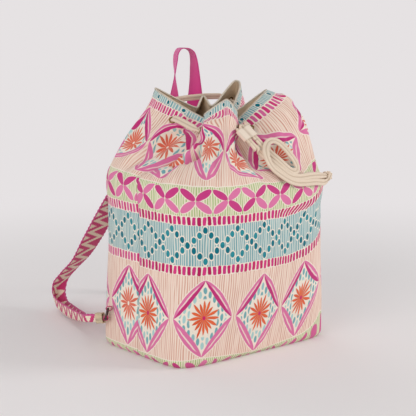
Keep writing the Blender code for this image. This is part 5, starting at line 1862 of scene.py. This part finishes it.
@dataclass
class Webbing(Rider):
    """The handle, the shoulder straps and what holds their ends."""

    handle_w: float = 0.027
    handle_thick: float = 0.0018
    handle_mesh: tuple[int, int] = (260, 19)
    strap_w: float = 0.040
    strap_thick: float = 0.0020
    strap_mesh: tuple[int, int] = (420, 33)
    scallop: float = 0.0006
    scallop_pitch: float = 0.0085
    collar_size: Triple = (0.0084, 0.0130, 0.0160)
    collar_wall: float = 0.0015
    collar_to_ring: float = 0.0118
    collar_pitch: float = 0.0016
    collar_depth: float = 0.0005
    collar_map_r: float = 0.006
    collar_shape: float = 0.4
    collar_mesh: tuple[int, int] = (48, 14)
    loop_turn: float = 41.0
    loop_w: float = 0.0055
    loop_thick: float = 0.0010
    loop_clear: float = 0.0010
    loop_map_step: float = 0.0008
    loop_steps: int = 17
    loop_edge: Pair = (0.9, 0.6)
    ring_mesh: tuple[int, int] = (18, 64)
    strap_loop_l: float = 0.0012
    tab_l: float = 0.0030
    end_w: float = 0.0110
    end_spread: float = 0.0013
    end_knee: float = 0.8
    end_rows: tuple[float, ...] = (0.0260, 0.0130, 0.0060, -0.0010)

    @staticmethod
    def ring_axes() -> tuple[Array, Array, Array]:
        """Return the left ring's axes: to its tab, along its plane and through it."""
        up = unit(RING_UP)
        along = square_to(RING_ALONG, up)
        return up, along, np.cross(up, along)

    def loop_seat(self) -> tuple[Array, Array]:
        """Return the point of the ring that the strap's loop holds, and the wire's run there."""
        up, along, _ = self.ring_axes()
        turn = math.radians(self.loop_turn)
        return (RING_CENTRE + (-up * math.cos(turn) + along * math.sin(turn)) * RING_R,
                up * math.sin(turn) + along * math.cos(turn))

    def collar_axes(self) -> tuple[Array, Array, Array, Array]:
        """Return the left collar's axes (along, up, across) and its centre."""
        along = unit(COLLAR_AXIS)
        up = square_to((0.0, 0.0, 1.0), along)
        return along, up, np.cross(along, up), self.loop_seat()[0] - along * self.collar_to_ring

    @staticmethod
    def anchor(s: float, heights: Sequence[float], width: float, thick: float) -> Array:
        """Return rows of webbing that lie on the cloth round one place."""
        pair = np.array([s - FOLD_SAMPLE, s + FOLD_SAMPLE])
        run = np.diff(CLOTH.outer(pair, np.array(heights[:1])), axis=1)
        stretch = float(np.linalg.norm(run)) / (2 * FOLD_SAMPLE)
        across = s + RIBBON_PLACES * width / stretch
        return CLOTH.face(across, np.array(heights), -(SEWN_GAP + thick / 2), False)

    def ribbon(self, name: str, middle: Array, width: float, thick: float,
               mesh: tuple[int, int], scallop: float = 0.0) -> Piece:
        """Make webbing from the coarse grid of its middle surface.

        Both directions are read with smooth cubics. The edge moves in and out by a sine of the
        length, and the thickness falls to half at the edge.

        Args:
            name: The piece's name.
            middle: Rows of five points each.
            width: The webbing's width.
            thick: Its thickness.
            mesh: Rows and columns of the fine grid.
            scallop: How far the edge moves.

        Returns:
            The new object.
        """
        far = distances(middle[:, 2])
        rows, columns = mesh
        u, v = np.linspace(-0.5, 0.5, columns), np.linspace(0, far[-1], rows)
        long = smooth_table(v, far, middle)
        fine = smooth_table(u, RIBBON_PLACES, long.transpose(1, 0, 2)).transpose(1, 0, 2)
        grow = (2 * scallop / width) * np.sin(2 * math.pi * v / self.scallop_pitch)
        grow = grow[:, None] * np.abs(2 * u)**4
        fine = fine + (fine - fine[:, columns // 2][:, None]) * grow[..., None]
        normal = unit(np.cross(np.gradient(fine, axis=0), np.gradient(fine, axis=1)))
        shift = normal * (thick / 2 * (1 - 0.5 * np.abs(2 * u)**8))[None, :, None]
        return sheet_mesh(name, fine - shift, fine + shift, map_of(fine, u * width, v))

    def handle(self) -> None:
        """Make the handle, which has a half twist in each leg."""
        left = self.anchor(HANDLE_LEFT_S, HANDLE_ANCHOR_T, self.handle_w, self.handle_thick)
        right = self.anchor(HANDLE_RIGHT_S, HANDLE_ANCHOR_T[::-1], self.handle_w, self.handle_thick)
        turn = np.radians([row[1] for row in HANDLE_FREE])
        width = np.stack([np.cos(turn), np.sin(turn), 0 * turn], -1) * self.handle_w
        centres = np.array([row[0] for row in HANDLE_FREE])
        free = centres[:, None] + width[:, None] * RIBBON_PLACES[None, :, None]
        middle = np.concatenate([left, free, right[:, ::-1]])
        piece = self.ribbon("handle_webbing", middle, self.handle_w, self.handle_thick, self.handle_mesh)
        finish = RibbedWebbing(HANDLE_TONE, self.handle_w).make("handle_ribs")
        self.dress(piece, finish, "body", "pink_webbing", "top_handle")

    def strap(self, hand: Hand, finish: bpy.types.Material) -> None:
        """Make one shoulder strap: sewn end, hanging part, gutter and gathered end."""
        left = hand is Hand.LEFT
        s = STRAP_LEFT_S if left else PERIMETER - STRAP_LEFT_S
        sewn = self.anchor(s, STRAP_ANCHOR_T, self.strap_w, self.strap_thick)[:, ::1 if left else -1]
        fold, near, far = (np.array([row[k] for row in STRAP_FREE]) for k in range(3))
        rows = [np.stack([fold + near, fold + near * 0.5, fold, fold + far * 0.5, fold + far], 1)]
        along, up, across, centre = self.collar_axes()
        for back in self.end_rows:
            low = centre - along * back - up * (self.end_w - self.strap_thick / 2) / 2
            knee, edge = up * self.end_spread * self.end_knee, up * self.end_w
            spread = across * self.end_spread
            rows.append(np.array([[low + spread + edge, low + spread + knee, low, low - spread + knee,
                                   low - spread + edge]]))
        middle = np.concatenate([sewn, np.concatenate(rows) * hand.mirror])
        piece = self.ribbon("strap_webbing_" + hand.word, middle, self.strap_w, self.strap_thick,
                            self.strap_mesh, self.scallop)
        self.dress(piece, finish, "body", "pink_webbing", "strap_" + hand.word)

    def collar(self, hand: Hand, finish: bpy.types.Material) -> None:
        """Make one collar: a short rounded tube of beige webbing, closed over its wall."""
        along, up, across, centre = (v * hand.mirror for v in self.collar_axes())
        half_w, half_l, half_h = (size / 2 for size in self.collar_size)
        outside = np.array((half_w, half_h))
        steps, rows = self.collar_mesh
        round_it = np.linspace(0, 2 * math.pi, steps, endpoint=False) * self.collar_map_r
        piece = sleeve("collar_" + hand.word, centre, (across, up, along), half_l,
                       oblong(steps, self.collar_shape, self.collar_shape),
                       (outside, outside - self.collar_wall), rows, round_it)
        self.dress(piece, finish, "body", "beige_webbing", "strap_collar_" + hand.word)

    def loop(self, name: str, node: str, centre: Array, reach: Array, run: Array,
             length: float, finish: bpy.types.Material) -> None:
        """Make a flat loop round a wire: two half circles joined by straight sides.

        Args:
            name: The piece's name.
            node: The node that it stands for.
            centre: The wire's middle.
            reach: The direction in which the loop reaches away from the wire.
            run: The wire's own direction.
            length: The straight sides' length.
            finish: The webbing.
        """
        middle = RING_WIRE_R + self.loop_clear + self.loop_thick / 2
        steps, (flat, low) = self.loop_steps, self.loop_edge
        a = np.radians(np.concatenate([np.linspace(90, 270, steps), np.linspace(-90, 90, steps)]))
        out = reach * np.cos(a)[:, None] + np.cross(run, reach) * np.sin(a)[:, None]
        line = centre + reach * np.repeat((0.0, length), steps)[:, None] + out * middle
        w, h = self.loop_w / 2, self.loop_thick / 2
        corner = np.array([(-w, -h), (w, -h), (w, h * low), (w * flat, h), (-w * flat, h),
                           (-w, h * low)])
        points = line[:, None] + corner[None, :, :1] * run + corner[None, :, 1:] * unit(out)[:, None]
        along = np.arange(len(line)) * self.loop_map_step
        piece = hoop(name, points, map_of(points, corner[:, 0], along))
        self.dress(piece, finish, "body", "pink_webbing", node)

    def ring(self, hand: Hand, finish: bpy.types.Material) -> None:
        """Make one ring: a circle carried round its axis."""
        a = np.linspace(0, 2 * math.pi, self.ring_mesh[0], endpoint=False)
        profile = np.stack([RING_R + RING_WIRE_R * np.cos(a), RING_WIRE_R * np.sin(a)], -1)
        piece = revolve("ring_steel_" + hand.word, profile, RING_CENTRE * hand.mirror,
                        self.ring_axes()[2] * hand.mirror, self.ring_mesh[1])
        self.dress(piece, finish, "ring_" + hand.word, "steel", "ring_" + hand.word)

    def build(self) -> None:
        """Make every piece of webbing and both rings."""
        self.handle()
        zigzag = ZigzagWebbing(self.strap_w).make("strap_zigzag")
        beige = PlainWeave(COLLAR_TONE, self.collar_pitch, self.collar_depth).make("collar_weave")
        pink = RibbedWebbing(STRAP_PINK, self.loop_w).make("loop_ribs")
        steel = WornMetal(STEEL_TONE, 0.30).make("dark_steel")
        up, ring_along, _ = self.ring_axes()
        contact, run = self.loop_seat()
        for hand in Hand:
            mirror = hand.mirror
            self.strap(hand, zigzag)
            self.collar(hand, beige)
            self.ring(hand, steel)
            wire, plane = run * mirror, ring_along * mirror
            self.loop("strap_loop_" + hand.word, "strap_end_loop_" + hand.word, contact * mirror,
                      square_to(-unit(COLLAR_AXIS) * mirror, wire), wire, self.strap_loop_l, pink)
            self.loop("tab_" + hand.word, "ring_tab_" + hand.word, (RING_CENTRE + up * RING_R) * mirror,
                      square_to((-hand.value, 0.0, 0.0), plane), plane, self.tab_l, pink)


def outward(piece: Piece) -> None:
    """Turn a closed mesh's faces outward where its signed volume says that they point inward."""
    mesh = piece.data
    mesh.calc_loop_triangles()
    points = np.zeros(len(mesh.vertices) * 3)
    mesh.vertices.foreach_get("co", points)
    corners = np.zeros(len(mesh.loop_triangles) * 3, np.int32)
    mesh.loop_triangles.foreach_get("vertices", corners)
    a, b, c = points.reshape(-1, 3)[corners].reshape(-1, 3, 3).transpose(1, 0, 2)
    if (a * np.cross(b, c)).sum() < 0:
        mesh.flip_normals()


def main() -> None:
    """Build the studio and every sub-assembly, turn their pieces' faces outward and log them."""
    logging.basicConfig(level=logging.INFO, format="%(name)s: %(message)s")
    Studio().build()
    for assembly in (Drawcord(), BagCloth(), Webbing()):
        assembly.build()
        for piece in assembly.made:
            outward(piece)
        assembly.report()


if __name__ == "__main__":
    main()
